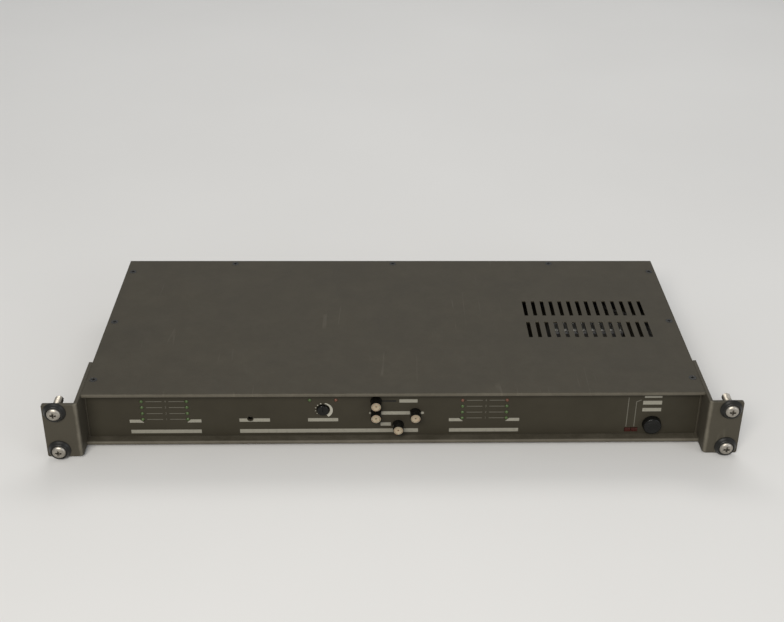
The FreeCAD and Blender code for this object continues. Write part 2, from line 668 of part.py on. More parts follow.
def ear_screws():
    """Screws through each wing: the front pair into the panel's fold, the rear pair into nuts."""
    screw = pan_screw(EAR_SCREW_HEAD, EAR_SCREW_RADIUS, EAR_SCREW_LENGTH)
    places = ear_screw_places + ear_nut_places
    return group(both_sides(placed(screw, V(wing_outside, y, z), V(-1, 0, 0)) for y, z in places))


def ear_nuts():
    """Nuts inside the side walls on the rear pair of ear screws."""
    nuts = [less(hexagon(V(wall_inside, y, z), V(-1, 0, 0), NUT_ACROSS, NUT_THICK),
                 ear_screw_cutters(EAR_SCREW_RADIUS + THREAD_CLEARANCE, [(y, z)])) for y, z in ear_nut_places]
    return group(both_sides(nuts))


def case_screws():
    """Countersunk screws of the cover and of the rear panel's tabs."""
    screw = sunk_screw()
    down = [placed(screw, V(side * flange_screw_x, y, case_top), V(0, 0, -1))
            for side in (-1, 1) for y in side_screw_y]
    down += [placed(screw, V(x, rear_face - FLANGE / 2, case_top), V(0, 0, -1)) for x in rear_screw_x]
    inward = [placed(screw, V(case_half, y, z), V(-1, 0, 0)) for y, z in rear_tab_places]
    return group(down + both_sides(inward))


def front_standoff_places():
    return [(x, z) for x in front_standoff_x for z in (-front_standoff_z, front_standoff_z)]


def main_standoff_places():
    return [(x, y) for x in main_standoff_x for y in main_standoff_y]


def standoffs():
    """Hexagonal pillars under both boards, each with a threaded end."""
    thread = SMALL_SCREW_RADIUS + THREAD_CLEARANCE
    pillars = []
    for x, z in front_standoff_places():
        pillar = hexagon(V(x, panel_back, z), V(0, 1, 0), STANDOFF_ACROSS, FRONT_BOARD_GAP)
        pillars.append(less(pillar, [rod_y(x, z, thread, board_front - SMALL_SCREW_LENGTH, board_front + 1)]))
    for x, y in main_standoff_places():
        pillar = hexagon(V(x, y, floor_top), V(0, 0, 1), STANDOFF_ACROSS, deck_under - floor_top)
        pillars.append(less(pillar, [rod_z(x, y, thread, deck_under - SMALL_SCREW_LENGTH, deck_under + 1)]))
    return group(pillars)


def inner_screws():
    """Screws that hold the boards to their pillars and the transformer's feet to the floor."""
    screw = pan_screw(SMALL_SCREW_HEAD, SMALL_SCREW_RADIUS, SMALL_SCREW_LENGTH)
    short = pan_screw(SMALL_SCREW_HEAD, SMALL_SCREW_RADIUS, STRAP + SHEET)
    screws = [placed(screw, V(x, board_back, z), V(0, -1, 0)) for x, z in front_standoff_places()]
    screws += [placed(screw, V(x, y, deck_top), V(0, 0, -1)) for x, y in main_standoff_places()]
    screws += [placed(short, V(x, transformer_at[1], floor_top + STRAP), V(0, 0, -1))
               for x in transformer_feet_x()]
    return group(screws)


def connector_screws():
    """Screws that hold the sockets and the power inlet to the rear panel."""
    screw = pan_screw(SMALL_SCREW_HEAD, SMALL_SCREW_RADIUS, SMALL_SCREW_LENGTH + SOCKET_FLANGE_THICK)
    inward = V(0, -1, 0)
    face = rear_face + SOCKET_FLANGE_THICK
    screws = [placed(screw, V(x + dx, face, dz), inward)
              for x in input_socket_x + output_socket_x for dx, dz in socket_screw_places]
    inlet_face = rear_face + INLET_FLANGE[2]
    screws += [placed(screw, V(inlet_x + side * INLET_SCREW_OFFSET, inlet_face, 0), inward)
               for side in (-1, 1)]
    return group(screws)


# ------------------------------------------------------------ lamps
def meter_places(centre, rows):
    return [(centre + side * METER_HALF_WIDTH, z) for side in (-1, 1) for z in rows]


def input_lamp_places():
    """Eight meter lamps and the single green lamp beside the level control."""
    return meter_places(input_meter_x, lamp_rows_z) + [(LEVEL_PLACE[0] - SIDE_LAMP_OFFSET, SIDE_LAMP_Z)]


def output_lamp_places():
    return meter_places(OUTPUT_METER_X, lamp_rows_z[1:])


def green_lamp_places():
    return input_lamp_places() + output_lamp_places()


def red_lamp_places():
    """The output meter's top pair and the lamp on the right of the level control."""
    return meter_places(OUTPUT_METER_X, lamp_rows_z[:1]) + [(LEVEL_PLACE[0] + SIDE_LAMP_OFFSET, SIDE_LAMP_Z)]


def lamp(x, z):
    """A round-nosed lamp with a flange behind the panel and two leads to the board."""
    nose, flange, back = panel_face - LAMP_PROUD, panel_back + LAMP_FLANGE[0], panel_back + LAMP_FLANGE[1]
    profile = [(0, nose), (LAMP_RADIUS * 0.5, nose + 0.15), (LAMP_RADIUS * 0.87, nose + 0.5),
               (LAMP_RADIUS, nose + 1.0), (LAMP_RADIUS, flange), (LAMP_FLANGE_RADIUS, flange),
               (LAMP_FLANGE_RADIUS, back), (0, back)]
    leads = [block(about(x, LAMP_LEAD), (back, board_front),
                   about(z + side * LAMP_LEAD_OFFSETS[0], LAMP_LEAD)) for side in (-1, 1)]
    return joined(turned(profile, x, z), *leads)


def status_lamps():
    """Two small rectangular lamps side by side in one window."""
    width, height = STATUS_LAMP_SIZE
    back = panel_back + LAMP_FLANGE[1]
    lamps = []
    for x in status_lamp_x:
        body = block(about(x, width), (panel_face - STATUS_LAMP_PROUD, back), about(status_lamp_z, height))
        leads = [block(about(x + side * LAMP_LEAD_OFFSETS[1], LAMP_LEAD), (back, board_front),
                       about(status_lamp_z + height / 4, LAMP_LEAD))
                 for side in (-1, 1)]
        lamps.append(joined(body, *leads))
    return group(lamps)


# ------------------------------------------------------------ controls
def front_board():
    """The circuit board behind the panel that carries the lamps and switches."""
    board = block(front_board_x, (board_front, board_back), (-front_board_half, front_board_half))
    hole = SMALL_SCREW_RADIUS + HOLE_CLEARANCE
    return less(board, [rod_y(x, z, hole, board_front - 1, board_back + 1)
                        for x, z in front_standoff_places()])


def button_barrel(x, z):
    """Round push button: a barrel with a recessed front and a square stem behind."""
    front, back = panel_face - BUTTON_PROUD, barrel_back
    barrel = rounded(rod_y(x, z, BUTTON_RADIUS, front, back), BUTTON_ROUNDING * 0.6, front)
    stem_end = board_front - BUTTON_TRAVEL - CONTROL_GAP
    stem = block(about(x, BUTTON_STEM), (back, stem_end), about(z, BUTTON_STEM))
    seat = rod_y(x, z, button_face_radius + THREAD_CLEARANCE, front - 1, front + BUTTON_FACE_THICK + 0.2)
    return less(joined(barrel, stem), [seat])


def button_face(x, z):
    """The pale disc set in a button's front, dished in the middle."""
    front = panel_face - BUTTON_PROUD + 0.1
    back = front + BUTTON_FACE_THICK + 0.1
    disc = rounded(rod_y(x, z, button_face_radius, front, back), BUTTON_ROUNDING, front)
    dish_radius = button_face_radius * 1.6
    return less(disc, [Part.makeSphere(dish_radius, V(x, front - dish_radius + 0.7, z))])


def button_switch_bodies():
    """Switch housings on the front board, each bored square for its button's stem."""
    bodies = []
    for x, z in BUTTON_PLACES:
        body = block(about(x, BUTTON_SWITCH), (switch_front, board_front), about(z, BUTTON_SWITCH))
        bore = BUTTON_STEM + 2 * STEM_GAP
        well = block(about(x, bore), (switch_front - 1, board_front + 1), about(z, bore))
        bodies.append(less(body, [well]))
    return group(bodies)


def power_button():
    """Round mains button with a square stem behind."""
    x, z = power_place
    front, back = panel_face - POWER_PROUD, panel_back + POWER_BACK
    cap = rounded(rod_y(x, z, POWER_RADIUS, front, back), POWER_EDGE, front)
    return joined(cap, block(about(x, POWER_STEM), (back, back + POWER_STEM_LENGTH), about(z, POWER_STEM)))


def power_switch_body():
    """Mains switch, with two legs that stand on the back of the panel beside the button."""
    x, z = power_place
    width, depth = POWER_SWITCH
    front = panel_back + POWER_BACK + POWER_TRAVEL + CONTROL_GAP
    bore = POWER_STEM + 2 * STEM_GAP
    inner = POWER_RADIUS + CONTROL_GAP
    body = block(about(x, width), (front, front + depth), about(z, width))
    legs = [block(sorted((x + side * inner, x + side * width / 2)), (panel_back, front), about(z, width / 2))
            for side in (-1, 1)]
    well = block(about(x, bore), (front - 1, front + POWER_STEM_LENGTH + CONTROL_GAP), about(z, bore))
    return less(joined(body, *legs), [well])


def level_knob():
    """Low slotted knob and its shaft, in one piece."""
    x, z = LEVEL_PLACE
    front, back = panel_face - LEVEL_KNOB_PROUD, panel_back + LEVEL_KNOB_SKIRT
    disc = rounded(rod_y(x, z, LEVEL_KNOB_RADIUS, front, back), LEVEL_KNOB_EDGE, front)
    shaft = rod_y(x, z, LEVEL_SHAFT_RADIUS, back, board_front - 1.0)
    slot = block(about(x, LEVEL_SLOT), (front - 1, front + LEVEL_SLOT),
                 (z - LEVEL_KNOB_RADIUS * 0.2, z + LEVEL_KNOB_RADIUS + 1))
    return less(joined(disc, shaft), [slot])


def level_pot_body():
    """The round potentiometer that the level knob turns."""
    x, z = LEVEL_PLACE
    front = board_front - LEVEL_POT_DEPTH
    bore = rod_y(x, z, LEVEL_SHAFT_RADIUS + SHAFT_CLEARANCE, front - 1, board_front - 1.0 + CONTROL_GAP)
    return less(rod_y(x, z, LEVEL_POT_RADIUS, front, board_front), [bore])


def trim_rotor():
    """The screwdriver-slotted rotor behind its access hole."""
    x, z = TRIM_PLACE
    width, depth = TRIM_SLOT
    front = panel_back + TRIM_DEPTHS[0]
    rotor = rod_y(x, z, TRIM_ROTOR_RADIUS, front, board_front - TRIM_BODY / 3)
    slot = block(about(x, 2 * TRIM_ROTOR_RADIUS + 1), (front - 1, front + depth), about(z, width))
    return less(rotor, [slot])


def trim_pot_body():
    """The square trimmer that holds the rotor."""
    x, z = TRIM_PLACE
    front = panel_back + TRIM_DEPTHS[1]
    floor = board_front - TRIM_BODY / 3 + CONTROL_GAP
    body = block(about(x, TRIM_BODY), (front, board_front), about(z, TRIM_BODY))
    return less(body, [rod_y(x, z, TRIM_ROTOR_RADIUS + SHAFT_CLEARANCE, front - 1, floor)])


# ------------------------------------------------------------ electronics
def main_board():
    """The circuit board on the floor, with holes for its screws and the sockets' tails."""
    board = block(main_board_x, main_board_y, (deck_under, deck_top))
    hole = SMALL_SCREW_RADIUS + HOLE_CLEARANCE
    cutters = [rod_z(x, y, hole, deck_under - 1, deck_top + 1) for x, y in main_standoff_places()]
    for x in input_socket_x + output_socket_x:
        cutters += [rod_z(x + dx, contact_tail_y(), CONTACT_RADIUS + PLAY, deck_under - 1, deck_top + 1)
                    for dx, _ in CONTACT_PLACES]
    return less(board, cutters)


def op_amp_chips():
    width, length, height = CHIP
    first_x, first_y = main_board_x[0] + CHIP_INSETS[0], main_board_y[0] + CHIP_INSETS[1]
    step_x, step_y = CHIP_STEPS
    places = [(first_x + step_x * column, first_y + step_y * row)
              for column in range(CHIP_COLUMNS) for row in range(CHIP_ROWS)]
    return group(block(about(x, width), about(y, length), (deck_top, deck_top + height)) for x, y in places)


def filter_capacitors():
    """Upright cans with a grooved top edge."""
    radius, height = CAPACITOR
    x = main_board_x[1] - CAPACITOR_INSETS[0]
    first = main_board_y[0] + CAPACITOR_INSETS[1]
    cans = []
    for number in range(CAPACITOR_COUNT):
        can = rod_z(x, first + CAPACITOR_STEP * number, radius, deck_top, deck_top + height)
        rim = [e for e in can.Edges if abs(e.CenterOfMass.z - deck_top - height) < 1e-6]
        cans.append(can.makeFillet(radius / 10, rim))
    return group(cans)


def heat_sink():
    """Finned extrusion for the regulators."""
    (x, y), (width, depth, height) = sink_at, SINK
    z = (deck_top, deck_top + height)
    back = block(about(x, width), (y - SINK_BACK, y), z)
    step = (width - SINK_FIN) / (SINK_FINS - 1)
    left = x - width / 2 + SINK_FIN / 2
    fins = [block(about(left + step * n, SINK_FIN), (y, y + depth - SINK_BACK), z) for n in range(SINK_FINS)]
    return joined(back, *fins)


def voltage_regulators():
    """Two power packages against the heat sink, each on three legs."""
    (x, y), (width, depth, height) = sink_at, REGULATOR
    leg_width, leg_thick, leg_pitch = REGULATOR_LEG
    face = y - SINK_BACK
    foot = deck_top + REGULATOR_LIFT
    regulators = []
    for side in (-1, 1):
        middle = x + side * width
        body = block(about(middle, width), (face - depth, face), (foot, foot + height))
        legs = [block(about(middle + leg * leg_pitch, leg_width), about(face - depth / 2, leg_thick),
                      (deck_top, foot)) for leg in (-1, 0, 1)]
        regulators.append(joined(body, *legs))
    return group(regulators)


def ribbon_headers():
    """One header on the back of the front board and one on the main board."""
    width, depth, height = HEADER
    front = block(about(ribbon_x, width), (board_back, board_back + depth), about(RIBBON_FRONT_Z, height))
    main = block(about(ribbon_x, width), about(ribbon_main_y, depth), (deck_top, deck_top + height))
    return group([front, main])


def ribbon_cable():
    """Flat cable from the front board's header, over one bend, down to the main board's header."""
    start, top, bottom = board_back + HEADER[1], RIBBON_FRONT_Z, deck_top + HEADER[2]
    turn = ribbon_main_y - RIBBON_BEND
    x = ribbon_x - RIBBON_WIDTH / 2
    centre = V(x, turn, top - RIBBON_BEND)
    half = RIBBON_THICK / 2
    level = block((x, x + RIBBON_WIDTH), (start, turn), (top - half, top + half))
    drop = block((x, x + RIBBON_WIDTH), about(ribbon_main_y, RIBBON_THICK), (bottom, top - RIBBON_BEND))
    ring = rod_x(centre.y, centre.z, RIBBON_BEND + half, x, x + RIBBON_WIDTH).cut(
        rod_x(centre.y, centre.z, RIBBON_BEND - half, x - 1, x + RIBBON_WIDTH + 1))
    reach = RIBBON_BEND + RIBBON_THICK
    quarter = block((x, x + RIBBON_WIDTH), (centre.y, centre.y + reach), (centre.z, centre.z + reach))
    return joined(level, ring.common(quarter), drop)


def transformer_feet_x():
    x = transformer_at[0]
    reach = CORE_WIDTH / 2 + STRAP + STRAP_FOOT / 2
    return [x - reach, x + reach]


def transformer_core():
    """Laminated core on the floor, with a window on each side of its middle leg."""
    x, y = transformer_at
    top = floor_top + core_height
    window = (CORE_WIDTH / 2 - CORE_YOKE - CORE_LEG / 2)
    core = block(about(x, CORE_WIDTH), about(y, CORE_STACK), (floor_top, top))
    windows = [block(about(x + side * (CORE_LEG + window) / 2, window), about(y, CORE_STACK + 2),
                     (floor_top + CORE_YOKE, top - CORE_YOKE)) for side in (-1, 1)]
    return less(core, windows)


def transformer_winding():
    """The taped coil round the core's middle leg."""
    x, y = transformer_at
    wide = CORE_WIDTH - 2 * CORE_YOKE - 2 * PLAY
    z = (floor_top + CORE_YOKE + PLAY, floor_top + core_height - CORE_YOKE - PLAY)
    coil = block(about(x, wide), about(y, CORE_STACK + 2 * COIL_BULGE), z)
    upright = [e for e in coil.Edges if abs(e.CenterOfMass.z - sum(z) / 2) < 1e-6]
    coil = coil.makeFillet(COIL_BULGE * 0.6, upright)
    leg = block(about(x, CORE_LEG + 2 * PLAY), about(y, CORE_STACK + 2 * PLAY), (z[0] - 1, z[1] + 1))
    return less(coil, [leg])


def transformer_frame():
    """Steel strap over the core, with a foot on each side."""
    x, y = transformer_at
    top = floor_top + core_height
    outer = CORE_WIDTH / 2 + STRAP
    width = about(y, CORE_STACK * 0.8)
    over = block((x - outer, x + outer), width, (top, top + STRAP))
    edges = [(x + side * (outer - STRAP), x + side * outer, x + side * (outer + STRAP_FOOT))
             for side in (-1, 1)]
    sides = [block(sorted((inner, edge)), width, (floor_top, top)) for inner, edge, _ in edges]
    feet = [block(sorted((edge, end)), width, (floor_top, floor_top + STRAP)) for _, edge, end in edges]
    holes = [rod_z(foot, y, SMALL_SCREW_RADIUS + HOLE_CLEARANCE, floor_top - 1, floor_top + 2 * STRAP)
             for foot in transformer_feet_x()]
    return less(joined(over, *sides, *feet), holes)


def mains_wires():
    """Two insulated wires from the power inlet's tags, along the side wall, to the mains switch."""
    switch_back = panel_back + POWER_BACK + POWER_TRAVEL + CONTROL_GAP + POWER_SWITCH[1]
    tags = rear_face - INLET_BODY[2] - INLET_TAG
    switch_x = power_place[0] + WIRE_SWITCH_OFFSETS[0]
    wires = []
    for (dx, dz), side in zip(INLET_BLADE_PLACES[1:], (-1, 1)):
        lane_z = dz + WIRE_LANE_RISE
        switch_z = power_place[1] + side * WIRE_SWITCH_OFFSETS[1]
        points = [
            V(inlet_x + dx, tags, dz),
            V(inlet_x + dx, tags - WIRE_STRAIGHT, dz),
            V(wire_lane_x, tags - WIRE_STRAIGHT - WIRE_SLANTS[0], lane_z),
            V(wire_lane_x, switch_back + WIRE_STRAIGHT + WIRE_SLANTS[1], lane_z),
            V(switch_x, switch_back + WIRE_STRAIGHT, switch_z),
            V(switch_x, switch_back, switch_z),
        ]
        wires.append(wire_along(points, WIRE_RADIUS, WIRE_BEND))
    return group(wires)


# ------------------------------------------------------------ rear connectors
def latch_lug(x, gap):
    """X and Z limits of the lug over an input socket that holds its latch."""
    beside, above, _ = LATCH_LUG
    return about(x, LATCH[0] + 2 * (beside + gap)), (0.0, latch_top + above + gap)


def socket_shell(x):
    """Round socket housing with its square flange on the rear panel, open to the rear."""
    width, height = socket_flange
    front, face = rear_face - SOCKET_DEPTH, rear_face + SOCKET_FLANGE_THICK
    flange = block(about(x, width), (rear_face, face), about(0, height))
    upright = [e for e in flange.Edges if abs(e.Length - SOCKET_FLANGE_THICK) < 1e-6]
    flange = rounded(flange.makeFillet(SOCKET_CORNER, upright), SOCKET_ROUNDING, face)
    bore = rod_y(x, 0, SOCKET_BORE_RADIUS, front + SOCKET_BACK_THICK, face + 1)
    screw_holes = [rod_y(x + dx, dz, SMALL_SCREW_RADIUS + HOLE_CLEARANCE, rear_face - 1, face + 1)
                   for dx, dz in socket_screw_places]
    contacts = [rod_y(x + dx, dz, CONTACT_RADIUS, front - 1, front + SOCKET_BACK_THICK + 1)
                for dx, dz in CONTACT_PLACES]
    body = rod_y(x, 0, socket_body_radius, front, rear_face)
    return joined(flange, body), [bore, *screw_holes, *contacts]


def input_sockets():
    """Housings for the input sockets, each with a lug and slot for its latch."""
    shells = []
    for x in input_socket_x:
        shell, cutters = socket_shell(x)
        lug_x, lug_z = latch_lug(x, 0.0)
        lug = block(lug_x, (rear_face - LATCH_DEPTH - LATCH_LUG[2], rear_face), lug_z)
        slot = block(about(x, LATCH[0] + 2 * CONTROL_GAP),
                     (rear_face - LATCH_DEPTH - CONTROL_GAP, rear_face + 2 * SOCKET_FLANGE_THICK),
                     (latch_top - LATCH[1] - LATCH_TRAVEL - CONTROL_GAP, latch_top + CONTROL_GAP))
        shells.append(less(joined(shell, lug), cutters + [slot]))
    return group(shells)


def output_sockets():
    """Housings for the output sockets, open round their three pins."""
    shells = []
    for x in output_socket_x:
        shell, cutters = socket_shell(x)
        shells.append(less(shell, cutters))
    return group(shells)


def input_socket_inserts():
    """The black core of each input socket, bored for the three pins of a plug."""
    front = rear_face - SOCKET_DEPTH + SOCKET_BACK_THICK
    face = rear_face + SOCKET_FLANGE_THICK - INSERT_RECESS
    cores = []
    for x in input_socket_x:
        core = rod_y(x, 0, SOCKET_BORE_RADIUS - INSERT_GAP, front, face)
        cores.append(less(core, [rod_y(x + dx, dz, CONTACT_RADIUS + PLAY / 2, front - 1, face + 1)
                                 for dx, dz in CONTACT_PLACES]))
    return group(cores)


def contact_tail_y():
    return rear_face - SOCKET_DEPTH - CONTACT_TAIL


def contact(x, dx, dz, end):
    """One contact: a round pin that turns down behind its housing into the main board."""
    tail = contact_tail_y()
    along = rod_y(x + dx, dz, CONTACT_RADIUS, tail, end)
    down = rod_z(x + dx, tail, CONTACT_RADIUS, deck_under - CONTACT_POKE, dz)
    return joined(along, down, Part.makeSphere(CONTACT_RADIUS, V(x + dx, tail, dz)))


def socket_contacts():
    """Pins of the output sockets, which stand in their bores, and tails of the input sockets."""
    floor = rear_face - SOCKET_DEPTH + SOCKET_BACK_THICK
    pin_end = rear_face + SOCKET_FLANGE_THICK - OUTPUT_PIN_RECESS
    contacts = [contact(x, dx, dz, floor) for x in input_socket_x for dx, dz in CONTACT_PLACES]
    contacts += [contact(x, dx, dz, pin_end) for x in output_socket_x for dx, dz in CONTACT_PLACES]
    return group(contacts)


def input_latch(x):
    """Push tab that releases the plug, in the slot over the socket."""
    width, height = LATCH
    face = rear_face + SOCKET_FLANGE_THICK
    depth = (rear_face - LATCH_DEPTH, face + LATCH_PROUD)
    return block(about(x, width), depth, (latch_top - height, latch_top))


def mains_inlet():
    """Power inlet moulding: a flange with two ears, and a body open to the rear."""
    width, height, thick = INLET_FLANGE
    body_width, body_height, depth = INLET_BODY
    flange = block(about(inlet_x, width), (rear_face, rear_face + thick), about(0, height))
    flange = flange.makeFillet(INLET_CORNER, [e for e in flange.Edges if abs(e.Length - thick) < 1e-6])
    flange = rounded(flange, SOCKET_ROUNDING, rear_face + thick)
    body = block(about(inlet_x, body_width), (rear_face - depth, rear_face), about(0, body_height))
    cavity_width, cavity_height, cavity_depth = INLET_CAVITY
    face = rear_face + thick
    cavity = block(about(inlet_x, cavity_width), (face - cavity_depth, face + 1), about(0, cavity_height))
    slanted = [e for e in cavity.Edges if abs(e.Length - cavity_depth - 1) < 1e-6 and e.CenterOfMass.z > 0]
    cavity = cavity.makeChamfer(INLET_KEY, slanted)
    screw = SMALL_SCREW_RADIUS + HOLE_CLEARANCE
    holes = [rod_y(inlet_x + side * INLET_SCREW_OFFSET, 0, screw, rear_face - 1, face + 1)
             for side in (-1, 1)]
    start = rear_face - depth - 1
    blades = [block(about(inlet_x + dx, INLET_BLADE[0]), (start, face), about(dz, INLET_BLADE[1]))
              for dx, dz in INLET_BLADE_PLACES]
    return less(joined(flange, body), [cavity, *holes, *blades])


def inlet_blades():
    """Three flat blades through the inlet's back wall, with solder tags inside."""
    end = rear_face + INLET_FLANGE[2] - INLET_BLADE_RECESS
    start = rear_face - INLET_BODY[2] - INLET_TAG
    return group(block(about(inlet_x + dx, INLET_BLADE[0]), (start, end), about(dz, INLET_BLADE[1]))
                 for dx, dz in INLET_BLADE_PLACES)


def fuse_holder():
    """Fuse tube through the rear panel, with a collar outside."""
    collar, thick = FUSE_COLLAR
    plug, plug_length = FUSE_PLUG
    face = rear_face + thick
    start = rear_face - FUSE_BODY_DEPTH
    seat = face - plug_length - 2 * CONTROL_GAP
    tube = FUSE_RADIUS + CONTROL_GAP
    profile = [(0, start), (FUSE_BODY_RADIUS, start), (FUSE_BODY_RADIUS, rear_face), (collar, rear_face),
               (collar, face), (plug + CONTROL_GAP, face), (plug + CONTROL_GAP, seat), (tube, seat),
               (tube, start + FUSE_END_WALL), (0, start + FUSE_END_WALL)]
    return turned(profile, fuse_x)


def fuse_cap():
    """Bayonet cap with a slotted knob, a plug, and a socket for the fuse's end."""
    plug, plug_length = FUSE_PLUG
    face = rear_face + FUSE_COLLAR[1]
    top = face + CONTROL_GAP + FUSE_CAP_PROUD
    end = face - plug_length + CONTROL_GAP
    fuse = FUSE_RADIUS + THREAD_CLEARANCE
    profile = [(0, top), (FUSE_CAP_RADIUS - FUSE_CAP_EDGE, top), (FUSE_CAP_RADIUS, top - FUSE_CAP_EDGE),
               (FUSE_CAP_RADIUS, face + CONTROL_GAP), (plug, face + CONTROL_GAP), (plug, end), (fuse, end),
               (fuse, end + FUSE_SEAT), (0, end + FUSE_SEAT)]
    width, depth = FUSE_CAP_SLOT
    slot = block(about(fuse_x, 2 * FUSE_CAP_RADIUS + 1), (top - depth, top + 1), about(0, width))
    return less(turned(profile, fuse_x), [slot])


def mains_fuse():
    """Glass fuse held in the cap."""
    end = rear_face + FUSE_COLLAR[1] - FUSE_PLUG[1] + CONTROL_GAP + FUSE_SEAT
    return rod_y(fuse_x, 0, FUSE_RADIUS, end - FUSE_LENGTH, end)


def ground_switch_body():
    """Slide switch behind the rear panel, with a channel for its slider."""
    width, depth, height = GROUND_SWITCH_BODY
    body = block(about(ground_switch_x, width), (rear_inside - depth, rear_inside), about(0, height))
    slider_width, slider_height = GROUND_SLIDER
    reach = slider_width + GROUND_TRAVEL + 2 * CONTROL_GAP
    channel = block(about(ground_switch_x, reach), (rear_inside - GROUND_CHANNEL, rear_inside + 1),
                    about(0, slider_height + 2 * CONTROL_GAP))
    return less(body, [channel])


def ground_switch_slider():
    """The slider's knob, at the left end of its channel."""
    width, height = GROUND_SLIDER
    x = (ground_switch_x - (width + GROUND_TRAVEL) / 2, ground_switch_x + (width - GROUND_TRAVEL) / 2)
    depth = (rear_inside - GROUND_CHANNEL + CONTROL_GAP, rear_face + GROUND_SLIDER_PROUD)
    return block(x, depth, about(0, height))


def ground_post():
    """Threaded earth post with its thumb nut."""
    nut, thick = GROUND_NUT
    start, end = rear_inside - GROUND_POST_ENDS[0], rear_face + thick + GROUND_POST_ENDS[1]
    profile = [(0, start), (GROUND_POST_RADIUS, start), (GROUND_POST_RADIUS, rear_face), (nut, rear_face),
               (nut, rear_face + thick), (GROUND_POST_RADIUS, rear_face + thick), (GROUND_POST_RADIUS, end),
               (0, end)]
    return turned(profile, ground_post_x)


# ------------------------------------------------------------ the assembly
def pieces():
    """Every node's name and shape."""
    ear = right_rack_ear()
    nodes = {
        "chassis_tray": chassis_tray(),
        "top_cover": top_cover(),
        "front_panel": front_panel(),
        "rear_panel": rear_panel(),
        "left_rack_ear": mirrored(ear),
        "right_rack_ear": ear,
        "ear_screws": ear_screws(),
        "ear_nuts": ear_nuts(),
        "case_screws": case_screws(),
        "rack_screws": rack_screws(),
        "cup_washers": cup_washers(),
        "standoffs": standoffs(),
        "inner_screws": inner_screws(),
        "connector_screws": connector_screws(),
        "front_board": front_board(),
        "input_lamps": group(lamp(x, z) for x, z in input_lamp_places()),
        "output_lamps": group(lamp(x, z) for x, z in output_lamp_places()),
        "red_lamps": group(lamp(x, z) for x, z in red_lamp_places()),
        "status_lamps": status_lamps(),
        "button_switch_bodies": button_switch_bodies(),
        "power_switch_body": power_switch_body(),
        "power_button": power_button(),
        "level_pot_body": level_pot_body(),
        "level_knob": level_knob(),
        "trim_pot_body": trim_pot_body(),
        "trim_rotor": trim_rotor(),
        "main_board": main_board(),
        "op_amp_chips": op_amp_chips(),
        "filter_capacitors": filter_capacitors(),
        "heat_sink": heat_sink(),
        "voltage_regulators": voltage_regulators(),
        "ribbon_headers": ribbon_headers(),
        "ribbon_cable": ribbon_cable(),
        "transformer_core": transformer_core(),
        "transformer_winding": transformer_winding(),
        "transformer_frame": transformer_frame(),
        "mains_wires": mains_wires(),
        "input_sockets": input_sockets(),
        "input_socket_inserts": input_socket_inserts(),
        "output_sockets": output_sockets(),
        "socket_contacts": socket_contacts(),
        "mains_inlet": mains_inlet(),
        "inlet_blades": inlet_blades(),
        "fuse_holder": fuse_holder(),
        "fuse_cap": fuse_cap(),
        "mains_fuse": mains_fuse(),
        "ground_switch_body": ground_switch_body(),
        "ground_switch_slider": ground_switch_slider(),
        "ground_post": ground_post(),
    }
    for number, (x, z) in enumerate(BUTTON_PLACES, 1):
        nodes[f"button_barrel_{number}"] = button_barrel(x, z)
        nodes[f"button_face_{number}"] = button_face(x, z)
    for number, x in enumerate(input_socket_x, 1):
        nodes[f"input_latch_{number}"] = input_latch(x)
    return nodes


os.makedirs("parts", exist_ok=True)
for name, shape in pieces().items():
    shape.exportStep(f"parts/{name}.step")
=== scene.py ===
import math

import bmesh
import bpy
from mathutils import Matrix, Vector


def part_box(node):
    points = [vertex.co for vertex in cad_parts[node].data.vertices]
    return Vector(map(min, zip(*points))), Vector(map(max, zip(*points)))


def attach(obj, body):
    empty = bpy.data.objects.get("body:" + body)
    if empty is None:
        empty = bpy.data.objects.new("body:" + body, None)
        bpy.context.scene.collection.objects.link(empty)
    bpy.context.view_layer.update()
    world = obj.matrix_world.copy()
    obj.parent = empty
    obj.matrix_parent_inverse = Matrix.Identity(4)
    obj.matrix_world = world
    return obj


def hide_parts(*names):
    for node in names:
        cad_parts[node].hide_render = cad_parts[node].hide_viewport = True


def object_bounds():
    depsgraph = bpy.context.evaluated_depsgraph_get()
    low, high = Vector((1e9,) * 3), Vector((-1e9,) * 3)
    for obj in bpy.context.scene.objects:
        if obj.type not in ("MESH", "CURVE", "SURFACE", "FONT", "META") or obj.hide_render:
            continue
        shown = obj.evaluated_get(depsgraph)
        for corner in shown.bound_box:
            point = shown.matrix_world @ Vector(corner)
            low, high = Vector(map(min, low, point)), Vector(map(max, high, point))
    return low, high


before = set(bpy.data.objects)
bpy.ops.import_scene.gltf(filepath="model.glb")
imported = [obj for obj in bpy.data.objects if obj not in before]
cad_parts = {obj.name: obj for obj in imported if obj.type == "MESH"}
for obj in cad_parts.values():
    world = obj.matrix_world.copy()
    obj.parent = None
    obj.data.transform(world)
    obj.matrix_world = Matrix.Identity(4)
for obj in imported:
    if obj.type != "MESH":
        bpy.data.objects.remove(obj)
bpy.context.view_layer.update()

# ---------------------------------------------------------------- folded steel case
# The tray, the cover and the rear panel are 1.2 mm steel, folded and powder coated in one warm grey. The
# coat has a fine orange-peel skin. Handling has polished it thin along the edges, which also carry a
# painted highlight, and dust lies on top. A painted highlight runs along the lips' front edges, and painted
# light brightens the ledge below the panel.


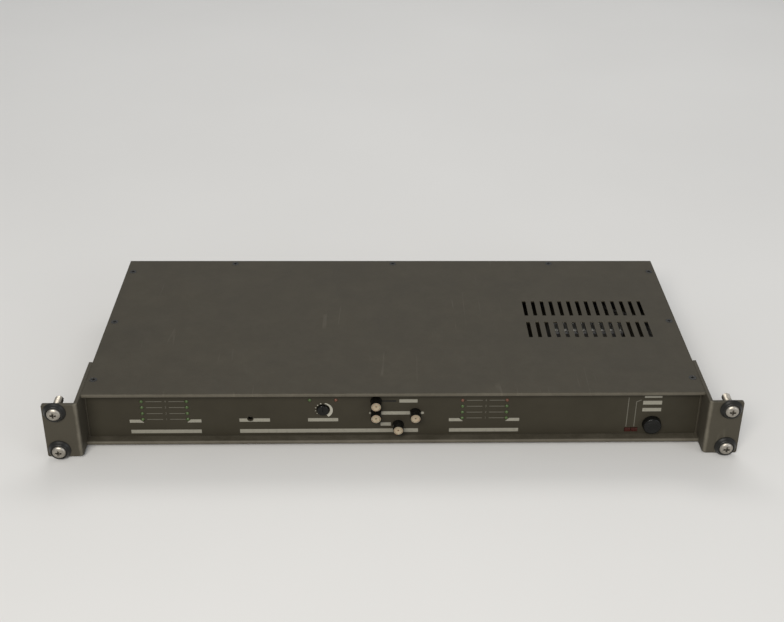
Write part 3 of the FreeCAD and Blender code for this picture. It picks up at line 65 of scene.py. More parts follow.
class Value:
    """A socket in a material's node tree, with the arithmetic used on it."""

    def __init__(self, finish, socket):
        self.finish, self.socket = finish, socket

    def maths(self, operation, first, second=0.0):
        return self.finish.node("ShaderNodeMath", {"operation": operation}, {0: first, 1: second})

    def __add__(self, other):
        return self.maths("ADD", self, other)

    def __sub__(self, other):
        return self.maths("SUBTRACT", self, other)

    def __rsub__(self, other):
        return self.maths("SUBTRACT", other, self)

    def __mul__(self, other):
        return self.maths("MULTIPLY", self, other)

    def __pow__(self, other):
        return self.maths("POWER", self, other)

    def __lt__(self, other):
        return self.maths("LESS_THAN", self, other)

    __radd__, __rmul__ = __add__, __mul__

    def size(self):
        """The value without its sign."""
        return self.maths("ABSOLUTE", self)

    def held(self):
        """The value kept between 0 and 1."""
        return self.finish.node("ShaderNodeClamp", {}, {"Value": self})

    def between(self, low, high):
        """0 at the low value, 1 at the high one, and even in between."""
        return ((self - low) * (1 / (high - low))).held()


class Finish:
    """A procedural material under way: its nodes and its main shader."""

    def __init__(self, name, **sockets):
        self.material = bpy.data.materials.new(name)
        self.material.use_nodes = True
        self.tree = self.material.node_tree
        self.shader = self.tree.nodes["Principled BSDF"]
        self.place = self.node("ShaderNodeTexCoord", {}, {}, "Object")
        self.set(**sockets)

    def node(self, kind, settings, inputs, output=0):
        """Adds a node with its settings made first, then its values and links, and gives one output."""
        node = self.tree.nodes.new(kind)
        for key, value in settings.items():
            setattr(node, key, value)
        for key, value in inputs.items():
            self.join(node.inputs[key], value)
        return Value(self, node.outputs[output])

    def join(self, socket, value):
        if isinstance(value, Value):
            self.tree.links.new(value.socket, socket)
        elif socket.type == "RGBA":
            socket.default_value = (*value, 1)
        else:
            socket.default_value = value

    def set(self, **sockets):
        """Sets or links sockets of the main shader: coat_weight stands for Coat Weight, and so on."""
        for key, value in sockets.items():
            name = key.replace("_", " ").title().replace("Ior", "IOR")
            self.join(self.shader.inputs[name], value)

    def noise(self, scale, detail=2.0, stretch=None, roughness=0.5):
        """Cloudy variation from 0 to 1, so many spots to the metre, drawn out along an axis if asked."""
        place = self.place
        if stretch:
            place = self.node("ShaderNodeMapping", {}, {"Vector": place, "Scale": stretch})
        return self.node("ShaderNodeTexNoise", {},
                         {"Vector": place, "Scale": scale, "Detail": detail, "Roughness": roughness})

    def mix(self, share, low, high):
        """A colour between two."""
        return self.node("ShaderNodeMix", {"data_type": "RGBA"}, {0: share, 6: low, 7: high}, 2)

    def rounded(self, radius):
        """The normal as it would be if each sharp edge had a small radius, in metres."""
        return self.node("ShaderNodeBevel", {"samples": 6}, {"Radius": radius})

    def edges(self, radius):
        """The rounded normal, and a mask that rises from 0 on the flat to about 0.3 at a square edge."""
        soft = self.rounded(radius)
        flat = self.node("ShaderNodeNewGeometry", {}, {}, "Normal")
        along = self.node("ShaderNodeVectorMath", {"operation": "DOT_PRODUCT"}, {0: soft, 1: flat}, "Value")
        return soft, (1 - along)

    def along(self, axis):
        """How far along X, Y or Z, in metres."""
        return self.node("ShaderNodeSeparateXYZ", {}, {0: self.place}, axis)

    def open(self, distance):
        """1 in the open and near 0 deep in a corner or a recess."""
        return self.node("ShaderNodeAmbientOcclusion", {"samples": 6}, {"Distance": distance}, "AO")

    def facing_up(self):
        """1 on what faces straight up, 0 on an upright wall and less than 0 underneath."""
        flat = self.node("ShaderNodeNewGeometry", {}, {}, "Normal")
        return self.node("ShaderNodeSeparateXYZ", {}, {0: flat}, "Z")

    def bump(self, height, distance, normal=None):
        """Relief of a height from 0 to 1, over a distance in metres."""
        sockets = {"Height": height, "Distance": distance}
        if normal:
            sockets["Normal"] = normal
        self.set(normal=self.node("ShaderNodeBump", {}, sockets))


def coat(finish, *names):
    """Gives CAD nodes a finish, in the material slots that they came with."""
    for name in names:
        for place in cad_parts[name].material_slots:
            place.material = finish.material


def powder_coat(name, colour, pale_wear_and_highlight, wear_and_light_strength, painted_light_mask):
    """Textured powder coat: fine skin, cloudy tone, dust on top, pale wear and a painted highlight on
    edges, and painted light where a mask asks for it.
    """
    paint = Finish(name, metallic=0.0, specular_ior_level=0.18)
    soft, edge = paint.edges(0.0009)
    skin = paint.noise(1500.0, 3.0, roughness=0.6)
    cloud = paint.noise(26.0, 5.0, roughness=0.6)
    speck = paint.noise(620.0, 2.0)
    patch = paint.noise(75.0, 5.0, roughness=0.65)
    # The pale tone on edges is partly wear and partly a painted highlight; the mask passed in adds painted
    # highlight and painted light.
    wear_and_highlight = (edge * 3.2 + painted_light_mask(paint) + (patch - 0.5) * 0.8 + (speck - 0.5) * 0.3).between(0.2, 1.0) * wear_and_light_strength
    # A hairline scuff runs along the middle value of smooth clouds that are drawn out along Y.
    track = (paint.noise(70.0, 0.0, stretch=(1.0, 0.035, 0.035)) - 0.5).size()
    scuff = (0.011 - track).between(0.0, 0.007) * paint.noise(24.0, 4.0).between(0.58, 0.68)
    wear_and_highlight = (wear_and_highlight + scuff * 0.22).held()
    dust = paint.facing_up().between(0.7, 1.0) * paint.noise(70.0, 6.0, roughness=0.7).between(0.42, 0.75)
    tone = paint.mix(cloud.between(0.3, 0.7), [c * 0.9 for c in colour], [c * 1.1 for c in colour])
    tone = paint.mix((skin - 0.5).between(-0.25, 0.25) * 0.3, tone, [c * 1.6 for c in colour])
    tone = paint.mix(dust * 0.05, tone, (0.30, 0.28, 0.235))
    paint.set(base_color=paint.mix(wear_and_highlight, tone, pale_wear_and_highlight),
              roughness=0.46 + cloud * 0.12 + skin * 0.1 - wear_and_highlight * 0.1 + dust * 0.08)
    paint.bump(skin * 0.8 + speck * 0.5, 0.0001, soft)
    return paint


LIP_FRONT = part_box("chassis_tray")[0].y
LEDGE_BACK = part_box("front_panel")[0].y
# Depth of the painted highlight on the lips' front edges, and fade of the painted light on the ledge.
LIP_HIGHLIGHT_DEPTH = 0.0012
LEDGE_LIGHT_FADE = 0.0002


def lip_highlight_and_ledge_light(paint):
    """A painted highlight along the lips' front edges, and painted light on the ledge below the panel."""
    nearness = paint.along("Y") * -1
    wear_and_highlight = nearness.between(-LIP_FRONT - LIP_HIGHLIGHT_DEPTH, -LIP_FRONT)
    ledge = nearness.between(-LEDGE_BACK - LEDGE_LIGHT_FADE, -LEDGE_BACK) * (paint.along("Z") < 0)
    return wear_and_highlight * 0.75 + ledge * paint.facing_up().held() * 0.34


case_paint = powder_coat("case_powder_coat", (0.044, 0.0385, 0.0270), (0.125, 0.112, 0.086), 0.8, lip_highlight_and_ledge_light)
coat(case_paint, "chassis_tray", "top_cover", "rear_panel")

# ---------------------------------------------------------------- rack ears
# Two brackets of 2.5 mm steel carry the slotted ears out in front of the lips. They have the same coat,
# made a little lighter as painted light. Their outer edges are worn pale and carry a painted highlight, and
# a painted highlight runs along the bend.
WING_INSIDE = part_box("right_rack_ear")[0].x
EAR_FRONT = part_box("right_rack_ear")[0].y
BEND_INSET = (0.001, 0.0004)  # across and back from the corner to the line where the painted highlight is brightest
BEND_FADE = 420  # per metre, so the painted highlight ends 2.4 mm from that line


def bend_highlight(paint):
    """A painted highlight along the bend between the ear and its wing."""
    across = paint.along("X").size() - WING_INSIDE - BEND_INSET[0]
    back = paint.along("Y") - EAR_FRONT - BEND_INSET[1]
    return (1 - ((across ** 2 + back ** 2) ** 0.5) * BEND_FADE).held() * 0.9


# The ears' colours are a lighter copy of the case's coat, as painted light.
ear_paint = powder_coat("ear_powder_coat", (0.052, 0.046, 0.0335), (0.17, 0.154, 0.12), 0.85, bend_highlight)
coat(ear_paint, "left_rack_ear", "right_rack_ear")

# ---------------------------------------------------------------- control panel
# A 2 mm plate, satin painted in the case's grey and set back behind the lips. Its ends fold back inside the
# case and take the front screws of the ears. Its colours are set darker than the case's as painted shade,
# and its edges carry a painted highlight.
panel_paint = Finish("panel_satin_paint", metallic=0.0, specular_ior_level=0.15)
panel_soft, panel_edge_highlight = panel_paint.edges(0.0003)
panel_cloud = panel_paint.noise(30.0, 5.0, roughness=0.6)
panel_skin = panel_paint.noise(1900.0, 3.0, roughness=0.6)
# Darker than the case's coat: painted shade for the recess.
panel_tone = panel_paint.mix(panel_cloud.between(0.3, 0.7), (0.032, 0.0278, 0.0185), (0.040, 0.0350, 0.024))
# The pale tone on the panel's edges is a painted highlight.
panel_paint.set(base_color=panel_paint.mix((panel_edge_highlight * 3).held() * 0.15, panel_tone, (0.15, 0.142, 0.12)),
                roughness=0.46 + panel_cloud * 0.14 + panel_skin * 0.06)
panel_paint.bump(panel_skin, 0.00003, panel_soft)
coat(panel_paint, "front_panel")

# ---------------------------------------------------------------- printed marks
# Bars and dots are screen printed on the panel in warm off-white ink, 0.04 mm thick. The meters' ticks and
# numbers and the status lamps' lines are in a greyer ink, and one line is black. From here on, pieces are
# drawn in millimetres.
MM = 0.001
PANEL_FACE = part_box("front_panel")[0].y / MM
INK_THICK = 0.04
INK_CLEAR = 0.002  # between the ink's back and the panel


def start():
    """Nothing selected, in object mode, ready for the next primitive."""
    if bpy.context.mode != "OBJECT":
        bpy.ops.object.mode_set(mode="OBJECT")
    bpy.ops.object.select_all(action="DESELECT")


def only(piece):
    """The piece alone selected and active."""
    start()
    piece.select_set(True)
    bpy.context.view_layer.objects.active = piece


def boxed(x, y, z):
    """A box between limits in millimetres along each axis, as the start of a piece."""
    start()
    middle = [(low + high) / 2 * MM for low, high in (x, y, z)]
    bpy.ops.mesh.primitive_cube_add(size=1, location=middle)
    bpy.context.object.scale = [(high - low) * MM for low, high in (x, y, z)]
    bpy.ops.object.transform_apply()
    return bpy.context.object


def pick(piece, kind, wanted):
    """In edit mode, selects the faces, edges or vertices that a test passes."""
    only(piece)
    bpy.ops.object.mode_set(mode="EDIT")
    bpy.ops.mesh.select_mode(type={"faces": "FACE", "edges": "EDGE", "verts": "VERT"}[kind])
    bpy.ops.mesh.select_all(action="DESELECT")
    shape = bmesh.from_edit_mesh(piece.data)
    for part in getattr(shape, kind):
        if wanted(part):
            part.select_set(True)
    bmesh.update_edit_mesh(piece.data)


def copied(piece, x=0.0, y=0.0, z=0.0):
    """The same piece again with a mesh of its own, moved by so many millimetres."""
    only(piece)
    bpy.ops.object.duplicate()
    other = bpy.context.object
    other.data.transform(Matrix.Translation(Vector((x, y, z)) * MM))
    return other


def joined(pieces):
    """Several pieces as one object."""
    only(pieces[0])
    for piece in pieces:
        piece.select_set(True)
    bpy.ops.object.join()
    return bpy.context.object


def finished(piece, name, finish, body="case", stands_for=(), angle=35):
    """Names a piece, gives it its finish and smooth shading, and fixes it to its body."""
    only(piece)
    bpy.ops.object.shade_smooth_by_angle(angle=math.radians(angle))
    piece.name = piece.data.name = name
    piece.data.materials.clear()
    piece.data.materials.append(finish.material)
    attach(piece, body)
    if stands_for:
        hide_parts(*stands_for)
    return piece


def along_y(edge):
    """Whether an edge runs along Y."""
    first, second = (corner.co for corner in edge.verts)
    return abs(first.y - second.y) > 0.9 * (first - second).length


def turned(rings, x=0.0, z=0.0, sides=64):
    """A round piece about a line along Y, drawn out from a disc ring by ring: (radius, y) for each."""
    start()
    radius, y = rings[0]
    bpy.ops.mesh.primitive_circle_add(vertices=sides, radius=radius * MM, fill_type="NGON",
                                      location=(x * MM, y * MM, z * MM), rotation=(math.pi / 2, 0, 0))
    bpy.ops.object.transform_apply()
    bpy.ops.object.mode_set(mode="EDIT")
    for next_radius, next_y in rings[1:]:
        bpy.ops.mesh.extrude_region_move(TRANSFORM_OT_translate={"value": (0, (next_y - y) * MM, 0)})
        grow = next_radius / radius
        bpy.ops.transform.resize(value=(grow, 1, grow), center_override=(x * MM, next_y * MM, z * MM))
        radius, y = next_radius, next_y
    bpy.ops.mesh.select_all(action="SELECT")
    bpy.ops.mesh.normals_make_consistent(inside=False)
    start()
    return bpy.context.object


def cut(piece, tool):
    """Takes the tool's shape out of the piece."""
    only(piece)
    taken = piece.modifiers.new("cut", "BOOLEAN")
    taken.object, taken.operation, taken.solver = tool, "DIFFERENCE", "EXACT"
    bpy.ops.object.modifier_apply(modifier=taken.name)
    bpy.data.objects.remove(tool)
    return piece


def printed(x, z, height, corner=0.25, near=PANEL_FACE - INK_THICK):
    """A bar of ink with slightly round corners, from one x to another about a height."""
    bar = boxed(x, (near, near + INK_THICK - INK_CLEAR), (z - height / 2, z + height / 2))
    pick(bar, "edges", along_y)
    bpy.ops.mesh.bevel(offset=corner * MM, segments=3)
    start()
    return bar


def slanted(bar, side, by):
    """Draws the upper corner of one end of a bar inwards, so that the end runs at a slant."""
    end = max(side * corner.co.x for corner in bar.data.vertices)
    middle = sum(corner.co.z for corner in bar.data.vertices) / len(bar.data.vertices)
    pick(bar, "verts", lambda v: side * v.co.x > end - 0.0005 and v.co.z > middle)
    bpy.ops.transform.translate(value=(-side * by * MM, 0, 0))
    start()
    return bar


def numeral(text, x, z, size, face, turn=0.0):
    """A plain raised numeral in ink, read from the front, or from behind with half a turn."""
    start()
    bpy.ops.object.text_add(location=(x * MM, face * MM, z * MM), rotation=(math.pi / 2, 0, turn))
    word = bpy.context.object
    word.data.body, word.data.size, word.data.extrude = text, size * MM, INK_THICK / 2 * MM
    word.data.align_x, word.data.align_y = "CENTER", "CENTER"
    bpy.ops.object.convert(target="MESH")
    bpy.ops.object.transform_apply()
    bpy.ops.object.mode_set(mode="EDIT")
    bpy.ops.mesh.select_all(action="SELECT")
    bpy.ops.mesh.remove_doubles(threshold=2e-6)
    bpy.ops.mesh.dissolve_degenerate(threshold=2e-6)
    bpy.ops.mesh.normals_make_consistent(inside=False)
    start()
    return bpy.context.object


def ink(name, colour):
    """Screen-print ink: a little uneven, with a few thin spots, and slightly raised."""
    print_ink = Finish(name, metallic=0.0, specular_ior_level=0.25)
    grain = print_ink.noise(2600.0, 3.0)
    thin = (print_ink.noise(420.0, 5.0, roughness=0.65) + (grain - 0.5) * 0.6).between(0.3, 0.46)
    print_ink.set(base_color=print_ink.mix(thin, [c * 0.8 for c in colour], colour),
                  roughness=0.55 + grain * 0.2)
    print_ink.bump(grain, 0.00001)
    return print_ink


pale_ink = ink("pale_print_ink", (0.25, 0.238, 0.195))
dim_ink = ink("dim_print_ink", (0.115, 0.108, 0.086))
black_ink = ink("black_print_ink", (0.006, 0.006, 0.0055))
white_ink = ink("white_print_ink", (0.36, 0.345, 0.29))

LAMP_ROWS = [10.7, 5.6, 0.5, -4.5]
METER_MIDDLES = [-162.0, 63.0]
TICK_LEFT, TICK_RIGHT, TICK_HEIGHT = (-12.7, -1.6), (3.2, 14.1), 0.5
METER_NUMBER, METER_NUMBER_SIZE = 0.8, 2.4  # from the meter's middle, and its height
meter_marks = []
for middle in METER_MIDDLES:
    for number, z in zip("4321", LAMP_ROWS):
        meter_marks += [printed([middle + end for end in tick], z, TICK_HEIGHT, 0.1)
                        for tick in (TICK_LEFT, TICK_RIGHT)]
        meter_marks.append(numeral(number, middle + METER_NUMBER, z, METER_NUMBER_SIZE,
                                   PANEL_FACE - INK_THICK / 2))
finished(joined(meter_marks), "meter_ticks", dim_ink)

CAPTION_ROW = -15.0  # middle of the long bars along the bottom
LABEL_ROW, LABEL_HEIGHT = -5.5, 2.8  # short bars at the trimmer and the level knob
FLAG, FLAG_ROW, FLAG_HEIGHT, FLAG_SLANT = (15.2, 25.1), -6.0, 2.6, 2.4  # outside a meter's lowest lamps
METER_BAR_HALF, METER_BAR_HEIGHT = 24.75, 3.0
TRIM, TRIM_RING = (-102.5, -4.2), 2.35  # the trimmer's hole, and the bare ring that bites into its bar
bars = []
for middle in METER_MIDDLES:
    for side in (-1, 1):
        flag = printed(sorted(middle + side * end for end in FLAG), FLAG_ROW, FLAG_HEIGHT)
        bars.append(slanted(flag, -side, FLAG_SLANT))
    bars.append(printed((middle - METER_BAR_HALF, middle + METER_BAR_HALF), CAPTION_ROW, METER_BAR_HEIGHT))
bars.append(cut(printed((-110.2, -88.7), LABEL_ROW, LABEL_HEIGHT),
                turned([(TRIM_RING, PANEL_FACE - 1), (TRIM_RING, PANEL_FACE + 1)], *TRIM, 48)))
bars += [
    printed((-61.9, -40.6), LABEL_ROW, LABEL_HEIGHT),  # level knob
    printed((-110.2, 16.1), CAPTION_ROW, 3.2),  # trimmer, knob and buttons together
    printed((2.6, 15.4), 10.4, 2.8),  # beside the top button
    printed((-10.0, 10.2), 0.1, 2.8),  # between the middle buttons
    printed((-10.6, -3.3), -9.5, 2.8),  # beside the lowest button
    printed((-18.7, -16.9), 0.1, 1.8, 0.8),  # dots outside the middle buttons
    printed((17.9, 20.1), 0.1, 2.2, 1.0),
    printed((176.3, 188.8), 13.0, 1.5, 0.2),  # above the power button, from the top
    printed((175.6, 189.1), 8.0, 3.2),
    printed((175.6, 189.1), 1.95, 2.9),
]
finished(joined(bars), "printed_bars", pale_ink)
finished(printed((-9.6, 0.4), 10.4, 1.1, 0.1), "black_line", black_ink)

# A line rises from each status lamp. The right one leans over at the top, towards the power button's bars.
LEAD_X, LEAD_FOOT, LEAD_TOPS, LEAD_HALF = (165.2, 170.9), -12.8, (12.5, 8.4), 0.3
LEAD_END, LEAD_THICK, LEAD_RISE = 174.2, 0.7, 1.6
ink_depth = (PANEL_FACE - INK_THICK, PANEL_FACE - INK_CLEAR)
leads = [boxed((x - LEAD_HALF, x + LEAD_HALF), ink_depth, (LEAD_FOOT, top))
         for x, top in zip(LEAD_X, LEAD_TOPS)]
leaning = boxed((LEAD_X[1] - LEAD_HALF, LEAD_END), ink_depth, (LEAD_TOPS[1], LEAD_TOPS[1] + LEAD_THICK))
pick(leaning, "verts", lambda v: v.co.x > (LEAD_END - 1) * MM)
bpy.ops.transform.translate(value=(0, 0, LEAD_RISE * MM))
start()
finished(joined([*leads, leaning]), "lamp_leads", dim_ink)

# ---------------------------------------------------------------- rack screws and cup washers
# Four M6 steel screws with raised heads and cross recesses, nickel plated, each sunk in a black cup washer.
# They are turned and thread-rolled; the washers are pressed and blacked.
SCREW_SPACING = (465.1, 31.75)
HEAD_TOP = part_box("rack_screws")[0].y / MM
RECESS_REACH, RECESS_DEPTH = 2.75, 2.4


def softened(piece, width, segments=2, angle=40):
    """Rounds a piece's sharp edges by so many millimetres."""
    only(piece)
    edge = piece.modifiers.new("edge", "BEVEL")
    edge.width, edge.segments = width * MM, segments
    edge.limit_method, edge.angle_limit = "ANGLE", math.radians(angle)
    bpy.ops.object.modifier_apply(modifier=edge.name)
    return piece


def set_back(face, rings):
    """Rings given as (radius, depth behind a face)."""
    return [(radius, face + depth) for radius, depth in rings]


def cross_tool(top, reach, depth):
    """The tapered four-winged punch that forms a cross recess."""
    bar = reach * 0.28
    punch = boxed((-bar, bar), (top - 1, top + depth), (-bar, bar))
    pick(punch, "faces", lambda f: abs(f.normal.y) < 0.5)
    bpy.ops.mesh.extrude_faces_move(TRANSFORM_OT_shrink_fatten={"value": (reach - bar) * MM})
    bpy.ops.mesh.select_all(action="DESELECT")
    shape = bmesh.from_edit_mesh(punch.data)
    deep = (top + depth) * MM - 1e-6
    for corner in shape.verts:
        corner.select_set(corner.co.y > deep and max(abs(corner.co.x), abs(corner.co.z)) > bar * MM * 1.5)
    bmesh.update_edit_mesh(punch.data)
    bpy.ops.transform.resize(value=(0.45, 1, 0.45), center_override=(0, (top + depth) * MM, 0))
    start()
    return punch


head_rings = set_back(HEAD_TOP, [(0.4, 0), (1.6, 0.04), (2.6, 0.16), (3.5, 0.42), (4.1, 0.78), (4.55, 1.25),
                                 (4.82, 1.75), (4.9, 2.11), (2.7, 4.31)])
shank_rings = [(2.7, -0.2), (2.5, 0.3), (2.5, 13.0), (1.9, 13.9)]
head = turned(head_rings + shank_rings)
softened(head, 0.08, 1, 50)
cut(head, cross_tool(HEAD_TOP, RECESS_REACH, RECESS_DEPTH))


def thread(root, crest, pitch, turns, y, x=0.0):
    """The rolled ridge of a screw thread round a shank along Y, from a place in millimetres."""
    start()
    bpy.ops.mesh.primitive_circle_add(vertices=3, radius=pitch * 0.55 * MM, rotation=(0, 0, -math.pi / 2))
    bpy.ops.object.transform_apply()
    bpy.ops.object.mode_set(mode="EDIT")
    bpy.ops.mesh.select_all(action="SELECT")
    bpy.ops.transform.resize(value=((crest - root) / (pitch * 0.825), 0.95, 1))
    bpy.ops.transform.translate(value=((root + (crest - root) / 3) * MM, y * MM, 0))
    start()
    ridge = bpy.context.object
    wind = ridge.modifiers.new("thread", "SCREW")
    wind.axis, wind.screw_offset, wind.iterations = "Y", pitch * MM, turns
    wind.steps = wind.render_steps = 28
    bpy.ops.object.modifier_apply(modifier=wind.name)
    bpy.ops.object.mode_set(mode="EDIT")
    bpy.ops.mesh.select_all(action="SELECT")
    bpy.ops.mesh.remove_doubles(threshold=1e-6)
    bpy.ops.mesh.fill_holes(sides=4)
    bpy.ops.mesh.normals_make_consistent(inside=False)
    bpy.ops.transform.translate(value=(x * MM, 0, 0))
    start()
    return ridge


head = joined([head, thread(2.42, 3.0, 1.0, 12, 0.75)])
half_x, half_z = (spacing / 2 for spacing in SCREW_SPACING)
screws = [copied(head, x, 0, z) for x in (-half_x, half_x) for z in (-half_z, half_z)]
bpy.data.objects.remove(head)


def plated(name, colour, roughness, tarnish=0.3):
    """Bright plating: slightly uneven, finely scratched, tarnished in places, with painted shade in the low
    places.
    """
    metal = Finish(name, metallic=1.0)
    soft = metal.rounded(0.00015)
    cloud = metal.noise(420.0, 4.0)
    scratch = metal.noise(900.0, 2.0, stretch=(1.0, 6.0, 0.25))
    # Painted shade: the colour darkens in recesses and corners as the occlusion mask finds them.
    deep = (1 - metal.open(0.0016)).between(0.25, 0.75)
    tarnish_and_shade = (cloud.between(0.45, 0.75) * tarnish + deep).held()
    metal.set(base_color=metal.mix(tarnish_and_shade, colour, [c * 0.22 for c in colour]),
              roughness=roughness + cloud * 0.14 + scratch * 0.08 + deep * 0.2)
    metal.bump(scratch * 0.5 + cloud * 0.3, 0.00001, soft)
    return metal


nickel = plated("nickel_plate", (0.40, 0.372, 0.325), 0.32)
finished(joined(screws), "rack_screw_set", nickel, stands_for=["rack_screws"])

black_oxide = Finish("black_oxide", metallic=0.0, specular_ior_level=0.35)
oxide_soft, oxide_edge = black_oxide.edges(0.0002)
oxide_cloud = black_oxide.noise(500.0, 4.0)
oxide_rub = (oxide_edge * 4 * oxide_cloud).between(0.5, 1.1)
black_oxide.set(base_color=black_oxide.mix(oxide_rub * 0.5, (0.0085, 0.0082, 0.0068), (0.13, 0.125, 0.105)),
                roughness=0.3 + oxide_cloud * 0.2)
black_oxide.bump(oxide_cloud, 0.00001, oxide_soft)
coat(black_oxide, "cup_washers", "case_screws", "connector_screws")

# ---------------------------------------------------------------- push buttons
# Four round buttons stand out of the panel on glossy black barrels. Each carries a cream disc, pressed in
# from the front and dished for a fingertip, with the mark of its moulding gate in the middle.
BUTTONS = [(-13.8, 10.3), (-13.8, 0.1), (14.0, 0.1), (1.9, -10.1)]
BARREL_LENGTH = 9.0
BARREL_STEM_HALF = 1.5
STEM_SINK = 0.1  # of a stem into what carries it
barrel_front, barrel_back = (corner.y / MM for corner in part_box("button_barrel_1"))

gloss_black = Finish("glossy_black_moulding", metallic=0.0, specular_ior_level=0.2, coat_roughness=0.12)
gloss_soft = gloss_black.rounded(0.0002)
gloss_cloud = gloss_black.noise(160.0, 4.0)
gloss_dust = gloss_black.noise(1400.0, 2.0).between(0.62, 0.8)
gloss_tone = gloss_black.mix(gloss_dust * 0.05, (0.0055, 0.0055, 0.0048), (0.12, 0.115, 0.10))
gloss_black.set(base_color=gloss_tone,
                roughness=0.2 + gloss_cloud * 0.16 + gloss_dust * 0.1,
                coat_weight=0.08 - gloss_dust * 0.07)
gloss_black.bump(gloss_cloud, 0.00002, gloss_soft)

cream = Finish("cream_moulding", metallic=0.0, specular_ior_level=0.42, subsurface_weight=0.12,
               subsurface_scale=0.0008)
cream_soft = cream.rounded(0.0002)
cream_cloud = cream.noise(260.0, 4.0)
# The discs darken in their dish and round the gate mark: painted shade in the hollows, with a little grime.
cream_grime_and_shade = ((1 - cream.open(0.0012)) * 1.4 + cream.noise(900.0, 4.0).between(0.5, 0.8) * 0.2).held()
cream_tone = cream.mix(cream_cloud, (0.30, 0.245, 0.168), (0.35, 0.29, 0.202))
cream.set(base_color=cream.mix(cream_grime_and_shade, cream_tone, (0.10, 0.072, 0.043)),
          roughness=0.42 + cream_cloud * 0.16)
cream.bump(cream_cloud + cream_grime_and_shade * 0.2, 0.00002, cream_soft)

first_x, first_z = BUTTONS[0]
barrel = turned(set_back(barrel_front, [
    (2.2, 2.0), (3.5, 2.0), (3.5, 0.28), (3.58, 0.08), (3.66, 0), (3.72, 0.03), (3.8, 0.2),
    (3.8, BARREL_LENGTH), (2.1, BARREL_LENGTH)]), first_x, first_z)
stem = softened(boxed((first_x - BARREL_STEM_HALF, first_x + BARREL_STEM_HALF),
                      (barrel_front + BARREL_LENGTH - STEM_SINK, barrel_back),
                      (first_z - BARREL_STEM_HALF, first_z + BARREL_STEM_HALF)), 0.2)
disc = turned(set_back(barrel_front, [
    (3.0, 1.9), (3.45, 1.9), (3.45, 0.42), (3.38, 0.2), (3.2, 0.1), (3.0, 0.12), (2.92, 0.34), (2.7, 0.36),
    (2.6, 0.2), (2.3, 0.27), (1.8, 0.44), (1.1, 0.58), (0.6, 0.62), (0.5, 0.74), (0.46, 1.3), (0.08, 1.3)]),
    first_x, first_z)
first = (joined([barrel, stem]), disc)
for number, (x, z) in enumerate(BUTTONS, 1):
    barrel, disc = first if number == 1 else [copied(piece, x - first_x, 0, z - first_z) for piece in first]
    finished(barrel, f"barrel_{number}", gloss_black, f"button_{number}",
             [f"button_barrel_{number}"])
    finished(disc, f"disc_{number}", cream, f"button_{number}", [f"button_face_{number}"])

# ---------------------------------------------------------------- power button
# A larger glossy black button with a shallow dished face, moulded in one piece with its stem.
POWER = (183.4, -10.3)
CAP_LENGTH = 9.7
CAP_STEM_HALF = 2
power_front, power_back = (corner.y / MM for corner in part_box("power_button"))
cap = turned(set_back(power_front, [
    (0.3, 0.9), (2.0, 0.8), (3.4, 0.54), (4.5, 0.22), (5.2, 0.04), (5.5, 0), (5.85, 0.06), (6.2, 0.3),
    (6.42, 0.7), (6.5, 1.2), (6.5, CAP_LENGTH), (4.0, CAP_LENGTH)]), *POWER, sides=96)
stem = softened(boxed((POWER[0] - CAP_STEM_HALF, POWER[0] + CAP_STEM_HALF),
                      (power_front + CAP_LENGTH - STEM_SINK, power_back),
                      (POWER[1] - CAP_STEM_HALF, POWER[1] + CAP_STEM_HALF)), 0.2)
finished(joined([cap, stem]), "power_cap", gloss_black, "power_button_body",
         ["power_button"])

# ---------------------------------------------------------------- level knob
# A low black knob that turns 150 degrees each way, with a screwdriver slot that doubles as its pointer.
# Round it a crescent and five growing dots are printed in a whiter ink.
LEVEL = (-51.2, 3.2)
KNOB_SIDES, FLUTE_DEPTH, SLOT_HALF, SLOT_DEPTH = 96, 0.22, 0.45, 0.9
SLOT_ENDS = (-0.84, 5.2)  # below the knob's middle, and above it


def fluted(piece, x, z, sides, depth):
    """Draws every other corner of the widest rings in, for a finger grip."""
    far = max(math.hypot(v.co.x - x * MM, v.co.z - z * MM) for v in piece.data.vertices)

    def grooved(corner):
        """Whether a corner is on a widest ring and lies in a groove."""
        across, up = corner.co.x - x * MM, corner.co.z - z * MM
        place = round(math.atan2(up, across) / (2 * math.pi / sides))
        return math.hypot(across, up) > far - 1e-5 and place % 2 == 1

    pick(piece, "verts", grooved)
    share = 1 - depth * MM / far
    bpy.ops.transform.resize(value=(share, 1, share), center_override=(x * MM, 0, z * MM))
    start()
    return piece


knob_front, knob_back = (corner.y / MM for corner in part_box("level_knob"))
knob_rings = set_back(knob_front, [(0.4, 0), (2.6, 0.02), (3.3, 0.08), (3.75, 0.25), (4.0, 0.5), (4.2, 0.9),
                                   (4.2, 4.6), (3.9, 5.0), (2.0, 5.0)])
knob = turned([*knob_rings, (2.0, knob_back)], *LEVEL, sides=KNOB_SIDES)
cut(knob, boxed((LEVEL[0] - SLOT_HALF, LEVEL[0] + SLOT_HALF), (knob_front - 1, knob_front + SLOT_DEPTH),
                [LEVEL[1] + end for end in SLOT_ENDS]))
fluted(knob, *LEVEL, KNOB_SIDES, FLUTE_DEPTH)
finished(knob, "level_knob_turned", gloss_black, "level_knob_body", ["level_knob"], 25)

